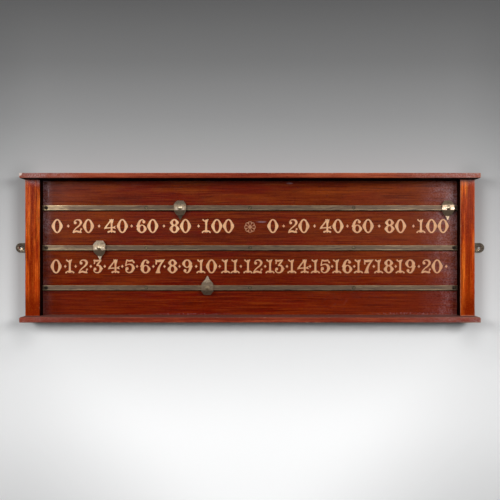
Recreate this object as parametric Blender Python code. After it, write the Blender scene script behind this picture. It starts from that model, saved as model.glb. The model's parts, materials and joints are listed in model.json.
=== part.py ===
"""Wall-hung billiard scoreboard: mahogany board, brass rails and four sliding brass pointers.

Metres, +Z up. The origin is the centre of the board's back, which lies against the wall, and the
viewer stands at -Y. Run it with Blender 4.5.
"""

import math

import bmesh
import bpy
from mathutils import Vector

# Clearances and cutting
FIT_GAP = 0.0003               # left between any two pieces that meet
CUT_OVERRUN = 0.002            # how far a cutter runs past the face that it opens

# Shelves: the edges that face the panel are rounded, the outer ones only eased
SHELF_LENGTH = 0.915
SHELF_DEPTH = 0.061            # from the wall to the front
SHELF_THICKNESS = 0.011
SHELF_INNER_ROUND = 0.0035
SHELF_OUTER_EASE = 0.0008
SHELF_END_OVERHANG = 0.00425   # past the stile's side
SHELF_FRONT_OVERHANG = 0.025   # past the stile's front

# Board
BOARD_HEIGHT = 0.297           # over both shelves
STILE_WIDTH = 0.030
STILE_EDGE_ROUND = 0.0016
PANEL_THICKNESS = 0.012
REBATE_WIDTH = 0.010           # how far the panel runs in behind each stile

# Rails: a brass strip on a narrower wooden packing, at a share of the panel's height from its middle
RAILS = {
    "upper": {"height_share": 0.297},
    "middle": {"height_share": 0.0},
    "lower": {"height_share": -0.297},
}
STRIP_WIDTH = 0.010
STRIP_THICKNESS = 0.0016
STRIP_EDGE_EASE = 0.0004
STRIP_END_GAP = 0.001
PACKING_WIDTH = 0.006
PACKING_DEPTH = 0.0055
STOP_INSET = 0.00725           # from the strip's end to the stop screw
RAIL_SCREW_SHARES = (-0.25, 0.0, 0.25)   # of the strip's length

# Pointer face plate: height is up from the rail's middle, reach is down from it to the tip
PLATE_WIDTH = 0.0244
PLATE_THICKNESS = 0.0009
PLATE_HEAD_WIDTH = 0.0128      # of the cut-off upper end
PLATE_HEAD_HEIGHT = 0.0147
PLATE_SHOULDER_HEIGHT = 0.0072
PLATE_FLANK_REACH = 0.0045
PLATE_TIP_WIDTH = 0.0088
PLATE_TIP_BASE_REACH = 0.0165
PLATE_TIP_REACH = 0.0245
PLATE_TIP_BLUNT = 0.0012       # width of the blunted point
PLATE_BAND = 0.0072            # flat band across the rail
PLATE_BEND_RADIUS = 0.006      # inside the bends beside the band
PLATE_TIP_BEND_RADIUS = 0.002
WING_ANGLE = math.radians(28)  # how far each wing is bent back towards the panel

# Pointer clip, leaf spring and rivet
CLIP_LENGTH = 0.0175
CLIP_THICKNESS = 0.0005
CLIP_BEND_RADIUS = 0.0004
CLIP_LIP = 0.0011              # how far a lip reaches behind the strip
SPRING_ROOM = 0.0016           # between the strip and the clip's web
SPRING_LENGTH = 0.015
SPRING_WIDTH = 0.007
SPRING_THICKNESS = 0.0003
SPRING_HOLE_DIAMETER = 0.0042
RIVET_SHANK_DIAMETER = 0.002
RIVET_HEAD_DIAMETER = 0.0095
RIVET_HEAD_HEIGHT = 0.0017
RIVET_TAIL_DIAMETER = 0.0034
RIVET_TAIL_THICKNESS = 0.0005

# Hanging plates, let in flush at the backs of the stiles
HANGER_THICKNESS = 0.002
HANGER_INLET_SHARE = 0.9       # of the stile's solid back
HANGER_INLET_HEIGHT = 0.034
HANGER_CORNER_RADIUS = 0.003
HANGER_LUG_RADIUS = 0.010
HANGER_HOLE_OUT = 0.01925      # from the stile's side to the hole
HANGER_HOLE_DIAMETER = 0.0045
HANGER_SINK_DIAMETER = 0.0088
HANGER_SINK_SHARE = 0.8        # of the plate's thickness that the countersink takes
HANGER_SCREW_SPACING = 0.022

# Screws: head diameter, shank diameter, length, and the lip at the rim of a countersunk head
RAIL_SCREW_HEAD = 0.0056
RAIL_SCREW_SHANK = 0.0026
RAIL_SCREW_LENGTH = 0.013
STOP_SCREW_HEAD = 0.006
STOP_SCREW_HEAD_HEIGHT = 0.002
SHELF_SCREW_HEAD = 0.0074
SHELF_SCREW_SHANK = 0.0036
SHELF_SCREW_LENGTH = 0.027
PANEL_SCREW_LENGTH = 0.022
HANGER_SCREW_HEAD = 0.0056
HANGER_SCREW_SHANK = 0.0028
HANGER_SCREW_LENGTH = 0.014
SCREW_RIM = 0.0003
SHELF_SCREW_DEPTH_SHARES = (0.25, 0.75)   # of the stile's depth
PANEL_SCREW_SHARES = (-0.3, 0.3)          # of the panel's height

# Where each pointer stands, as a share of its travel from the rail's middle, and which way it points
POINTERS = {
    "upper_left": {"rail": "upper", "place_share": -0.3533, "points_up": False},
    "upper_right": {"rail": "upper", "place_share": 1.0, "points_up": False},
    "middle": {"rail": "middle", "place_share": -0.7598, "points_up": False},
    "lower": {"rail": "lower", "place_share": -0.2154, "points_up": True},
}

# Finishes: colour, roughness and metallic value
FINISHES = {
    "panel_mahogany": ((0.13, 0.03, 0.014), 0.35, 0.0),
    "stile_mahogany": ((0.36, 0.075, 0.022), 0.35, 0.0),
    "shelf_mahogany": ((0.21, 0.055, 0.032), 0.4, 0.0),
    "packing_mahogany": ((0.08, 0.025, 0.014), 0.6, 0.0),
    "rail_brass": ((0.21, 0.16, 0.10), 0.45, 0.9),
    "plate_brass": ((0.42, 0.35, 0.24), 0.3, 1.0),
    "clip_brass": ((0.35, 0.28, 0.16), 0.4, 1.0),
    "rivet_brass": ((0.5, 0.42, 0.28), 0.25, 1.0),
    "hanger_brass": ((0.16, 0.13, 0.09), 0.45, 0.9),
    "screw_brass": ((0.3, 0.24, 0.14), 0.4, 1.0),
}

# Shading and bevels
SMOOTH_ANGLE = math.radians(30)   # edges that turn more than this are shaded sharp
ARC_PROFILE_SHARE = 0.5           # the bevel profile that is a true arc

# Facet counts
SCREW_SIDES = 10
BEND_STEPS = 4
EDGE_STEPS = 3
TAPER_STEPS = 6
LUG_STEPS = 12
HOLE_SIDES = 20
SPRING_STEPS = 8
DOME_STEPS = 4
RIVET_SIDES = 20

# Places that follow from the sizes above
HALF_HEIGHT = BOARD_HEIGHT / 2
INNER_HALF_HEIGHT = HALF_HEIGHT - SHELF_THICKNESS - FIT_GAP
STILE_OUTER_X = SHELF_LENGTH / 2 - SHELF_END_OVERHANG
STILE_INNER_X = STILE_OUTER_X - STILE_WIDTH
STILE_DEPTH = SHELF_DEPTH - SHELF_FRONT_OVERHANG
STILE_SOLID_WIDTH = STILE_WIDTH - REBATE_WIDTH
PANEL_HALF_LENGTH = STILE_INNER_X + REBATE_WIDTH - FIT_GAP
PACKING_FRONT = PANEL_THICKNESS + FIT_GAP + PACKING_DEPTH
STRIP_BACK = PACKING_FRONT + FIT_GAP
STRIP_FRONT = STRIP_BACK + STRIP_THICKNESS
STRIP_HALF_LENGTH = STILE_INNER_X - STRIP_END_GAP
STOP_X = STRIP_HALF_LENGTH - STOP_INSET
POINTER_TRAVEL = STOP_X - STOP_SCREW_HEAD / 2 - FIT_GAP - CLIP_LENGTH / 2
WEB_BACK = STRIP_FRONT + SPRING_ROOM
WEB_FRONT = WEB_BACK + CLIP_THICKNESS
CLIP_HALF_WIDTH = STRIP_WIDTH / 2 + FIT_GAP + CLIP_THICKNESS


def clear_scene():
    """Remove what the scene holds, so that the script can be run again."""
    for item in list(bpy.data.objects):
        bpy.data.objects.remove(item, do_unlink=True)


def make_finishes():
    """Make a Principled material for each finish and return them by name."""
    finishes = {}
    for name, (color, roughness, metallic) in FINISHES.items():
        finish = bpy.data.materials.new(name)
        finish.use_nodes = True
        shader = finish.node_tree.nodes["Principled BSDF"]
        shader.inputs["Base Color"].default_value = (*color, 1.0)
        shader.inputs["Roughness"].default_value = roughness
        shader.inputs["Metallic"].default_value = metallic
        finish.diffuse_color = (*color, 1.0)
        finishes[name] = finish
    return finishes


def finish_mesh(shape, name):
    """Turn a bmesh into a mesh whose faces point outwards, with round faces shaded smooth."""
    bmesh.ops.recalc_face_normals(shape, faces=shape.faces)
    mesh = bpy.data.meshes.new(name)
    shape.to_mesh(mesh)
    shape.free()
    mesh.shade_smooth()
    mesh.set_sharp_from_angle(angle=SMOOTH_ANGLE)
    return mesh


def add_object(name, mesh, finish=None, location=(0, 0, 0), parent=None):
    """Put a mesh, or an empty where there is none, in the scene as a named object."""
    item = bpy.data.objects.new(name, mesh)
    bpy.context.collection.objects.link(item)
    item.location = location
    item.parent = parent
    if finish:
        mesh.materials.clear()
        mesh.materials.append(finish)
    return item


def cut(mesh, fill_cutter, operation="DIFFERENCE"):
    """Return a mesh cut by a Boolean with a cutter whose bmesh fill_cutter fills."""
    shape = bmesh.new()
    fill_cutter(shape)
    blank = add_object("blank", mesh)
    cutter = add_object("cutter", finish_mesh(shape, "cutter"))
    modifier = blank.modifiers.new("cut", "BOOLEAN")
    modifier.operation = operation
    modifier.solver = "EXACT"
    modifier.object = cutter
    graph = bpy.context.evaluated_depsgraph_get()
    result = bpy.data.meshes.new_from_object(blank.evaluated_get(graph))
    result.set_sharp_from_angle(angle=SMOOTH_ANGLE)
    name = mesh.name
    for used in (blank, cutter):
        bpy.data.meshes.remove(used.data, do_unlink=True)
    result.name = name
    return result


def add_box(shape, low, high):
    """Add a box between two corners to a bmesh."""
    for corner in bmesh.ops.create_cube(shape, size=1)["verts"]:
        corner.co = [high[i] if corner.co[i] > 0 else low[i] for i in range(3)]


def add_prism(shape, outline, low, high, axis):
    """Extrude a closed outline along an axis; its points are the other two coordinates in order."""
    def place(point, along):
        values = list(point)
        values.insert(axis, along)
        return values

    near = [shape.verts.new(place(point, low)) for point in outline]
    far = [shape.verts.new(place(point, high)) for point in outline]
    shape.faces.new(near)
    shape.faces.new(list(reversed(far)))
    for i in range(len(outline)):
        j = (i + 1) % len(outline)
        shape.faces.new((near[j], near[i], far[i], far[j]))


def add_turned(shape, profile, start, inward, sides):
    """Turn a profile of (radius, depth) points about an axis from start along inward.

    A point of zero radius closes the shape at that end.
    """
    turn = Vector(inward).to_track_quat("Z", "Y").to_matrix()
    rings = []
    for radius, depth in profile:
        count = sides if radius > 0 else 1
        ring = []
        for i in range(count):
            angle = 2 * math.pi * i / sides
            offset = Vector((radius * math.cos(angle), radius * math.sin(angle), depth))
            ring.append(shape.verts.new(Vector(start) + turn @ offset))
        rings.append(ring)
    for near, far in zip(rings, rings[1:]):
        for i in range(sides):
            j = (i + 1) % sides
            corners = [near[i % len(near)], near[j % len(near)], far[j % len(far)], far[i % len(far)]]
            shape.faces.new(list(dict.fromkeys(corners)))


def countersunk_profile(head, shank, length):
    """Profile of a countersunk screw, from the middle of its head to its end."""
    cone_end = SCREW_RIM + (head - shank) / 2
    return [(0, 0), (head / 2, 0), (head / 2, SCREW_RIM), (shank / 2, cone_end), (shank / 2, length),
            (0, length)]


def countersunk_hole_profile(head, shank, length):
    """Profile of the hole for a countersunk screw, a gap wider all round and open at the face."""
    cone_end = SCREW_RIM + (head - shank) / 2
    return [(0, -CUT_OVERRUN), (head / 2 + FIT_GAP, -CUT_OVERRUN), (head / 2 + FIT_GAP, SCREW_RIM),
            (shank / 2 + FIT_GAP, cone_end), (shank / 2 + FIT_GAP, length + FIT_GAP),
            (0, length + FIT_GAP)]


def dome_profile(radius, height):
    """Profile of a shallow dome from its top to its rim, as part of a circle."""
    ball = (radius * radius + height * height) / (2 * height)
    spread = math.asin(radius / ball)
    points = []
    for i in range(DOME_STEPS + 1):
        angle = spread * i / DOME_STEPS
        points.append((ball * math.sin(angle), ball * (1 - math.cos(angle)) - height))
    return points


def round_head_profile(head, head_height, shank, length):
    """Profile of a round-head screw; zero depth is the underside of its head."""
    return dome_profile(head / 2, head_height) + [(shank / 2, 0), (shank / 2, length), (0, length)]


def rounded_path(corners, radii):
    """Follow a path of corners, with an arc of the given radius in place of each inner corner."""
    path = [Vector(corners[0])]
    for before, corner, after, radius in zip(corners, corners[1:], corners[2:], radii):
        corner = Vector(corner)
        arriving = (corner - Vector(before)).normalized()
        leaving = (Vector(after) - corner).normalized()
        turn = arriving.angle_signed(leaving)
        tangent = radius * math.tan(abs(turn) / 2)
        side = Vector((-arriving.y, arriving.x)) * (-1 if turn > 0 else 1)
        centre = corner - arriving * tangent + side * radius
        for i in range(BEND_STEPS + 1):
            angle = abs(turn) * i / BEND_STEPS
            path.append(centre - side * radius * math.cos(angle) + arriving * radius * math.sin(angle))
    path.append(Vector(corners[-1]))
    return path


def sheet_outline(path, thickness):
    """Outline of a bent sheet: the path moved half the thickness to each side."""
    left, right = [], []
    for i, point in enumerate(path):
        arriving = (point - path[i - 1]).normalized() if i else (path[1] - point).normalized()
        leaving = (path[i + 1] - point).normalized() if i + 1 < len(path) else arriving
        along = (arriving + leaving).normalized()
        side = Vector((-along.y, along.x)) * thickness / 2 / along.dot(arriving)
        left.append(point + side)
        right.append(point - side)
    return [tuple(point) for point in left + right[::-1]]


def plate_fall(distance):
    """How far the plate's inner face falls back at a distance from the rail's middle."""
    past = max(distance - PLATE_BAND / 2, 0)
    bend_reach = PLATE_BEND_RADIUS * math.sin(WING_ANGLE)
    if past < bend_reach:
        return PLATE_BEND_RADIUS - math.sqrt(PLATE_BEND_RADIUS ** 2 - past ** 2)
    bend_fall = PLATE_BEND_RADIUS * (1 - math.cos(WING_ANGLE))
    return bend_fall + (past - bend_reach) * math.tan(WING_ANGLE)


def shelf_mesh(name, side_z):
    """The top or the bottom shelf with its screw holes, rounded at the edges that face the panel."""
    outer, inner = side_z * HALF_HEIGHT, side_z * (HALF_HEIGHT - SHELF_THICKNESS)
    low, high = sorted((outer, inner))
    shape = bmesh.new()
    add_box(shape, (-SHELF_LENGTH / 2, -SHELF_DEPTH, low), (SHELF_LENGTH / 2, 0, high))

    def round_rim(height, radius, steps):
        """Round the front and end edges at a height."""
        rim = [edge for edge in shape.edges
               if all(abs(v.co.z - height) < FIT_GAP for v in edge.verts)
               and any(abs(v.co.y) > FIT_GAP for v in edge.verts)]
        bmesh.ops.bevel(shape, geom=rim, offset=radius, offset_type="OFFSET", segments=steps,
                        profile=ARC_PROFILE_SHARE, affect="EDGES", clamp_overlap=True)

    round_rim(inner, SHELF_INNER_ROUND, EDGE_STEPS + 1)
    round_rim(outer, SHELF_OUTER_EASE, 1)
    return cut(finish_mesh(shape, name), lambda cutter: cut_shelf_holes(cutter, side_z))


def stile_mesh(name, side):
    """A stile: rounded front edges, a rebate for the panel, an inlet for its hanging plate, and holes."""
    ease = STILE_EDGE_ROUND
    front = -STILE_DEPTH
    inner, outer = STILE_INNER_X, STILE_OUTER_X
    outline = [(outer, 0), (inner + REBATE_WIDTH, 0),
               (inner + REBATE_WIDTH, -PANEL_THICKNESS - FIT_GAP), (inner, -PANEL_THICKNESS - FIT_GAP)]
    for i in range(EDGE_STEPS + 1):
        angle = math.pi / 2 * i / EDGE_STEPS
        outline.append((inner + ease - ease * math.cos(angle), front + ease - ease * math.sin(angle)))
    for i in range(EDGE_STEPS + 1):
        angle = math.pi / 2 * i / EDGE_STEPS
        outline.append((outer - ease + ease * math.sin(angle), front + ease - ease * math.cos(angle)))
    shape = bmesh.new()
    add_prism(shape, [(side * x, y) for x, y in outline], -INNER_HALF_HEIGHT, INNER_HALF_HEIGHT, 2)

    def fill_inlet_cutter(cutter):
        add_prism(cutter, hanger_outline(side, FIT_GAP), -HANGER_THICKNESS - FIT_GAP, CUT_OVERRUN, 1)

    def fill_hole_cutter(cutter):
        cut_panel_screw_holes(cutter, side)
        cut_hanger_screw_holes(cutter, side)
        for side_z in (-1, 1):
            cut_shelf_holes(cutter, side_z)

    return cut(cut(finish_mesh(shape, name), fill_inlet_cutter), fill_hole_cutter)


def hanger_outline(side, grow=0.0):
    """Outline (x, z) of a hanging plate: a square inlet with a rounded lug."""
    inlet = STILE_SOLID_WIDTH * HANGER_INLET_SHARE
    left, right = STILE_OUTER_X - inlet - grow, STILE_OUTER_X - HANGER_CORNER_RADIUS / 2 + grow
    half, radius = HANGER_INLET_HEIGHT / 2 + grow, HANGER_CORNER_RADIUS
    lug, centre = HANGER_LUG_RADIUS + grow, STILE_OUTER_X + HANGER_HOLE_OUT
    points = []
    for cx, cz, start in ((left + radius, half - radius, 1), (left + radius, radius - half, 2)):
        for i in range(EDGE_STEPS + 1):
            angle = math.pi / 2 * (start + i / EDGE_STEPS)
            points.append((cx + radius * math.cos(angle), cz + radius * math.sin(angle)))
    points += [(right, -half), (right, -lug)]
    for i in range(LUG_STEPS + 1):
        angle = math.pi * (i / LUG_STEPS - 1 / 2)
        points.append((centre + lug * math.cos(angle), lug * math.sin(angle)))
    points += [(right, lug), (right, half)]
    return [(side * x, z) for x, z in points]


def hanger_screw_places(side):
    """The two screws of a hanging plate, at its back face."""
    x = side * (STILE_OUTER_X - STILE_SOLID_WIDTH * HANGER_INLET_SHARE / 2)
    return [(x, 0, -HANGER_SCREW_SPACING / 2), (x, 0, HANGER_SCREW_SPACING / 2)]


def shelf_screw_places(side_z):
    """The screws of a shelf, at its outer face: two into the end of each stile."""
    x = STILE_OUTER_X - STILE_SOLID_WIDTH / 2
    return [(side * x, -STILE_DEPTH * share, side_z * HALF_HEIGHT)
            for side in (-1, 1) for share in SHELF_SCREW_DEPTH_SHARES]


def panel_screw_places(side):
    """The screws through one end of the panel into the stile, at the panel's back."""
    x = side * (STILE_INNER_X + REBATE_WIDTH / 2)
    return [(x, 0, 2 * INNER_HALF_HEIGHT * share) for share in PANEL_SCREW_SHARES]


def rail_height(rail):
    """Height of a rail's middle above the board's middle."""
    return 2 * INNER_HALF_HEIGHT * RAILS[rail]["height_share"]


def rail_screw_places(rail):
    """The flush screws of a rail, at the strip's front."""
    return [(2 * STRIP_HALF_LENGTH * share, -STRIP_FRONT, rail_height(rail)) for share in RAIL_SCREW_SHARES]


def stop_places(rail):
    """The stop screws of a rail, where their heads rest on the strip."""
    return [(side * STOP_X, -STRIP_FRONT - FIT_GAP, rail_height(rail)) for side in (-1, 1)]


def cut_shelf_holes(shape, side_z):
    """Holes of one shelf's screws."""
    profile = countersunk_hole_profile(SHELF_SCREW_HEAD, SHELF_SCREW_SHANK, SHELF_SCREW_LENGTH)
    for place in shelf_screw_places(side_z):
        add_turned(shape, profile, place, (0, 0, -side_z), SCREW_SIDES)


def cut_panel_screw_holes(shape, side):
    """Holes of the screws through one end of the panel."""
    profile = countersunk_hole_profile(SHELF_SCREW_HEAD, SHELF_SCREW_SHANK, PANEL_SCREW_LENGTH)
    for place in panel_screw_places(side):
        add_turned(shape, profile, place, (0, -1, 0), SCREW_SIDES)


def cut_hanger_screw_holes(shape, side):
    """Holes of the screws that hold one hanging plate."""
    profile = countersunk_hole_profile(HANGER_SCREW_HEAD, HANGER_SCREW_SHANK, HANGER_SCREW_LENGTH)
    for place in hanger_screw_places(side):
        add_turned(shape, profile, place, (0, -1, 0), SCREW_SIDES)


def cut_rail_holes(shape, rail):
    """Holes of one rail's flush screws and stop screws."""
    flush = countersunk_hole_profile(RAIL_SCREW_HEAD, RAIL_SCREW_SHANK, RAIL_SCREW_LENGTH)
    for place in rail_screw_places(rail):
        add_turned(shape, flush, place, (0, 1, 0), SCREW_SIDES)
    radius, end = RAIL_SCREW_SHANK / 2 + FIT_GAP, RAIL_SCREW_LENGTH + FIT_GAP
    plain = [(0, -CUT_OVERRUN), (radius, -CUT_OVERRUN), (radius, end), (0, end)]
    for place in stop_places(rail):
        add_turned(shape, plain, place, (0, 1, 0), SCREW_SIDES)


def build_screws(name, profile, places, inward, finish):
    """Alike screws that share one mesh, numbered in the order of their places."""
    shape = bmesh.new()
    add_turned(shape, profile, (0, 0, 0), (0, 0, 1), SCREW_SIDES)
    mesh = finish_mesh(shape, name)
    for number, place in enumerate(places, start=1):
        screw = add_object(f"{name}_{number}", mesh, finish, place)
        screw.rotation_euler = Vector(inward).to_track_quat("Z", "Y").to_euler()


def panel_mesh():
    """The score panel, with the holes of the rails' screws and of the screws at its ends."""
    shape = bmesh.new()
    add_box(shape, (-PANEL_HALF_LENGTH, -PANEL_THICKNESS, -INNER_HALF_HEIGHT),
            (PANEL_HALF_LENGTH, 0, INNER_HALF_HEIGHT))

    def fill_cutter(cutter):
        for rail in RAILS:
            cut_rail_holes(cutter, rail)
        for side in (-1, 1):
            cut_panel_screw_holes(cutter, side)

    return cut(finish_mesh(shape, "score_panel"), fill_cutter)


def build_board(finishes):
    """The panel, the stiles and the shelves, with the screws that hold them together."""
    add_object("score_panel", panel_mesh(), finishes["panel_mahogany"])
    for side, hand in ((-1, "left"), (1, "right")):
        add_object(f"{hand}_stile", stile_mesh(f"{hand}_stile", side), finishes["stile_mahogany"])

    screw = countersunk_profile(SHELF_SCREW_HEAD, SHELF_SCREW_SHANK, SHELF_SCREW_LENGTH)
    for side, level in ((1, "top"), (-1, "bottom")):
        add_object(f"{level}_shelf", shelf_mesh(f"{level}_shelf", side), finishes["shelf_mahogany"])
        build_screws(f"{level}_shelf_screw", screw, shelf_screw_places(side), (0, 0, -side),
                     finishes["screw_brass"])

    screw = countersunk_profile(SHELF_SCREW_HEAD, SHELF_SCREW_SHANK, PANEL_SCREW_LENGTH)
    places = panel_screw_places(-1) + panel_screw_places(1)
    build_screws("panel_screw", screw, places, (0, -1, 0), finishes["screw_brass"])


def packing_mesh(rail):
    """The wooden fillet that a rail's strip lies on."""
    middle = rail_height(rail)
    shape = bmesh.new()
    add_box(shape, (-STRIP_HALF_LENGTH, -PACKING_FRONT, middle - PACKING_WIDTH / 2),
            (STRIP_HALF_LENGTH, -PANEL_THICKNESS - FIT_GAP, middle + PACKING_WIDTH / 2))
    return cut(finish_mesh(shape, f"{rail}_rail_packing"), lambda cutter: cut_rail_holes(cutter, rail))


def strip_mesh(rail):
    """A rail's brass strip, with its front edges eased."""
    middle, half, ease = rail_height(rail), STRIP_WIDTH / 2, STRIP_EDGE_EASE
    outline = [(-STRIP_BACK, middle - half), (-STRIP_BACK, middle + half),
               (-STRIP_FRONT + ease, middle + half), (-STRIP_FRONT, middle + half - ease),
               (-STRIP_FRONT, middle - half + ease), (-STRIP_FRONT + ease, middle - half)]
    shape = bmesh.new()
    add_prism(shape, outline, -STRIP_HALF_LENGTH, STRIP_HALF_LENGTH, 0)
    return cut(finish_mesh(shape, f"{rail}_rail_strip"), lambda cutter: cut_rail_holes(cutter, rail))


def build_rail(rail, finishes):
    """One rail: its packing, its strip, its flush screws and its two stop screws."""
    add_object(f"{rail}_rail_packing", packing_mesh(rail), finishes["packing_mahogany"])
    add_object(f"{rail}_rail_strip", strip_mesh(rail), finishes["rail_brass"])
    flush = countersunk_profile(RAIL_SCREW_HEAD, RAIL_SCREW_SHANK, RAIL_SCREW_LENGTH)
    build_screws(f"{rail}_rail_screw", flush, rail_screw_places(rail), (0, 1, 0), finishes["screw_brass"])
    stop = round_head_profile(STOP_SCREW_HEAD, STOP_SCREW_HEAD_HEIGHT, RAIL_SCREW_SHANK, RAIL_SCREW_LENGTH)
    build_screws(f"{rail}_rail_stop", stop, stop_places(rail), (0, 1, 0), finishes["screw_brass"])


def plate_front_outline():
    """Front outline (x, z) of a pointer plate: cut-off end, shoulders, flanks, taper and tip."""
    right = [(PLATE_HEAD_WIDTH / 2, PLATE_HEAD_HEIGHT), (PLATE_WIDTH / 2, PLATE_SHOULDER_HEIGHT)]
    fall = (PLATE_WIDTH - PLATE_TIP_WIDTH) / 2
    for i in range(TAPER_STEPS + 1):
        along = i / TAPER_STEPS
        reach = PLATE_FLANK_REACH + (PLATE_TIP_BASE_REACH - PLATE_FLANK_REACH) * along
        right.append((PLATE_WIDTH / 2 - fall * along ** 2, -reach))
    right.append((PLATE_TIP_BLUNT / 2, -PLATE_TIP_REACH))
    return right + [(-x, z) for x, z in reversed(right)]


def pointer_plate_mesh():
    """The bowed face plate: a bent sheet, trimmed to its front outline and pierced for the rivet."""
    ridge = WEB_FRONT + FIT_GAP + plate_fall(CLIP_HALF_WIDTH) + PLATE_THICKNESS / 2
    slope = math.tan(WING_ANGLE)
    bend = PLATE_BAND / 2 + (PLATE_BEND_RADIUS + PLATE_THICKNESS / 2) * math.tan(WING_ANGLE / 2)
    head = PLATE_HEAD_HEIGHT + CUT_OVERRUN
    tip_face = ridge - (PLATE_TIP_BASE_REACH - bend) * slope
    corners = [(-ridge + (head - bend) * slope, head), (-ridge, bend), (-ridge, -bend),
               (-tip_face, -PLATE_TIP_BASE_REACH), (-tip_face, -PLATE_TIP_REACH - CUT_OVERRUN)]
    outer_bend = PLATE_BEND_RADIUS + PLATE_THICKNESS / 2
    path = rounded_path(corners, (outer_bend, outer_bend, PLATE_TIP_BEND_RADIUS))
    half = PLATE_WIDTH / 2 + CUT_OVERRUN
    shape = bmesh.new()
    add_prism(shape, sheet_outline(path, PLATE_THICKNESS), -half, half, 0)

    def fill_trimmer(cutter):
        add_prism(cutter, plate_front_outline(), -ridge - CUT_OVERRUN, -PANEL_THICKNESS, 1)

    plate = cut(finish_mesh(shape, "pointer_plate"), fill_trimmer, "INTERSECT")
    return cut(plate, lambda cutter: fill_rivet_hole(cutter, ridge))


def fill_rivet_hole(cutter, ridge):
    """A cutter for the rivet's hole, through the plate and the clip's web."""
    radius = RIVET_SHANK_DIAMETER / 2 + FIT_GAP
    depth = ridge - STRIP_FRONT
    profile = [(0, -CUT_OVERRUN), (radius, -CUT_OVERRUN), (radius, depth), (0, depth)]
    add_turned(cutter, profile, (0, -ridge, 0), (0, 1, 0), SCREW_SIDES)


def pointer_clip_mesh():
    """The guide clip: a channel round the strip, whose lips hook behind the strip's edges."""
    side = CLIP_HALF_WIDTH - CLIP_THICKNESS / 2
    web = -(WEB_BACK + WEB_FRONT) / 2
    lip = -STRIP_BACK + FIT_GAP + CLIP_THICKNESS / 2
    lip_end = STRIP_WIDTH / 2 - CLIP_LIP
    corners = [(lip, lip_end), (lip, side), (web, side), (web, -side), (lip, -side), (lip, -lip_end)]
    path = rounded_path(corners, [CLIP_BEND_RADIUS] * 4)
    shape = bmesh.new()
    add_prism(shape, sheet_outline(path, CLIP_THICKNESS), -CLIP_LENGTH / 2, CLIP_LENGTH / 2, 0)
    return cut(finish_mesh(shape, "pointer_clip"), lambda cutter: fill_rivet_hole(cutter, WEB_FRONT))


def pointer_spring_mesh():
    """The leaf spring: its middle lies against the clip's web and its ends against the strip."""
    middle = WEB_BACK - FIT_GAP - SPRING_THICKNESS / 2
    end = STRIP_FRONT + FIT_GAP + SPRING_THICKNESS / 2
    half = SPRING_LENGTH / 2
    path = []
    for i in range(SPRING_STEPS + 1):
        along = 2 * i / SPRING_STEPS - 1
        path.append(Vector((half * along, -(middle + (end - middle) * along ** 2))))
    shape = bmesh.new()
    add_prism(shape, sheet_outline(path, SPRING_THICKNESS), -SPRING_WIDTH / 2, SPRING_WIDTH / 2, 2)

    def fill_piercer(cutter):
        radius, depth = SPRING_HOLE_DIAMETER / 2, SPRING_ROOM
        profile = [(0, 0), (radius, 0), (radius, depth), (0, depth)]
        add_turned(cutter, profile, (0, -WEB_BACK, 0), (0, 1, 0), SCREW_SIDES)

    return cut(finish_mesh(shape, "pointer_spring"), fill_piercer)


def pointer_rivet_mesh():
    """The domed rivet: its head lies on the plate and its tail is spread behind the clip's web."""
    seat = WEB_FRONT + FIT_GAP + plate_fall(CLIP_HALF_WIDTH) + PLATE_THICKNESS + FIT_GAP
    tail = seat - WEB_BACK + FIT_GAP
    profile = dome_profile(RIVET_HEAD_DIAMETER / 2, RIVET_HEAD_HEIGHT)
    profile += [(RIVET_SHANK_DIAMETER / 2, 0), (RIVET_SHANK_DIAMETER / 2, tail),
                (RIVET_TAIL_DIAMETER / 2, tail), (RIVET_TAIL_DIAMETER / 2, tail + RIVET_TAIL_THICKNESS),
                (0, tail + RIVET_TAIL_THICKNESS)]
    shape = bmesh.new()
    add_turned(shape, profile, (0, -seat, 0), (0, 1, 0), RIVET_SIDES)
    return finish_mesh(shape, "pointer_rivet")


def build_pointers(finishes):
    """The four pointers, each on an empty that stands on its rail's middle line."""
    pieces = {
        "plate": (pointer_plate_mesh(), finishes["plate_brass"]),
        "clip": (pointer_clip_mesh(), finishes["clip_brass"]),
        "spring": (pointer_spring_mesh(), finishes["clip_brass"]),
        "rivet": (pointer_rivet_mesh(), finishes["rivet_brass"]),
    }
    for name, pointer in POINTERS.items():
        place = (POINTER_TRAVEL * pointer["place_share"], 0, rail_height(pointer["rail"]))
        carrier = add_object(f"{name}_pointer", None, location=place)
        carrier.rotation_euler.y = math.pi if pointer["points_up"] else 0
        for piece, (mesh, finish) in pieces.items():
            add_object(f"{name}_pointer_{piece}", mesh, finish, parent=carrier)


def hanger_mesh(name, side):
    """A hanging plate, with its countersunk hole in the lug and the holes of its two screws."""
    shape = bmesh.new()
    add_prism(shape, hanger_outline(side), -HANGER_THICKNESS, 0, 1)

    def fill_cutter(cutter):
        hole, sink = HANGER_HOLE_DIAMETER / 2, HANGER_SINK_DIAMETER / 2
        sink_end, end = HANGER_THICKNESS * HANGER_SINK_SHARE, HANGER_THICKNESS + CUT_OVERRUN
        lug_hole = [(0, -CUT_OVERRUN), (sink, -CUT_OVERRUN), (sink, 0), (hole, sink_end), (hole, end),
                    (0, end)]
        centre = (side * (STILE_OUTER_X + HANGER_HOLE_OUT), -HANGER_THICKNESS, 0)
        add_turned(cutter, lug_hole, centre, (0, 1, 0), HOLE_SIDES)
        cut_hanger_screw_holes(cutter, side)

    return cut(finish_mesh(shape, name), fill_cutter)


def build_hangers(finishes):
    """The two hanging plates with their screws."""
    screw = countersunk_profile(HANGER_SCREW_HEAD, HANGER_SCREW_SHANK, HANGER_SCREW_LENGTH)
    for side, hand in ((-1, "left"), (1, "right")):
        name = f"{hand}_hanging_plate"
        add_object(name, hanger_mesh(name, side), finishes["hanger_brass"])
        build_screws(f"{name}_screw", screw, hanger_screw_places(side), (0, -1, 0), finishes["screw_brass"])


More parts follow.
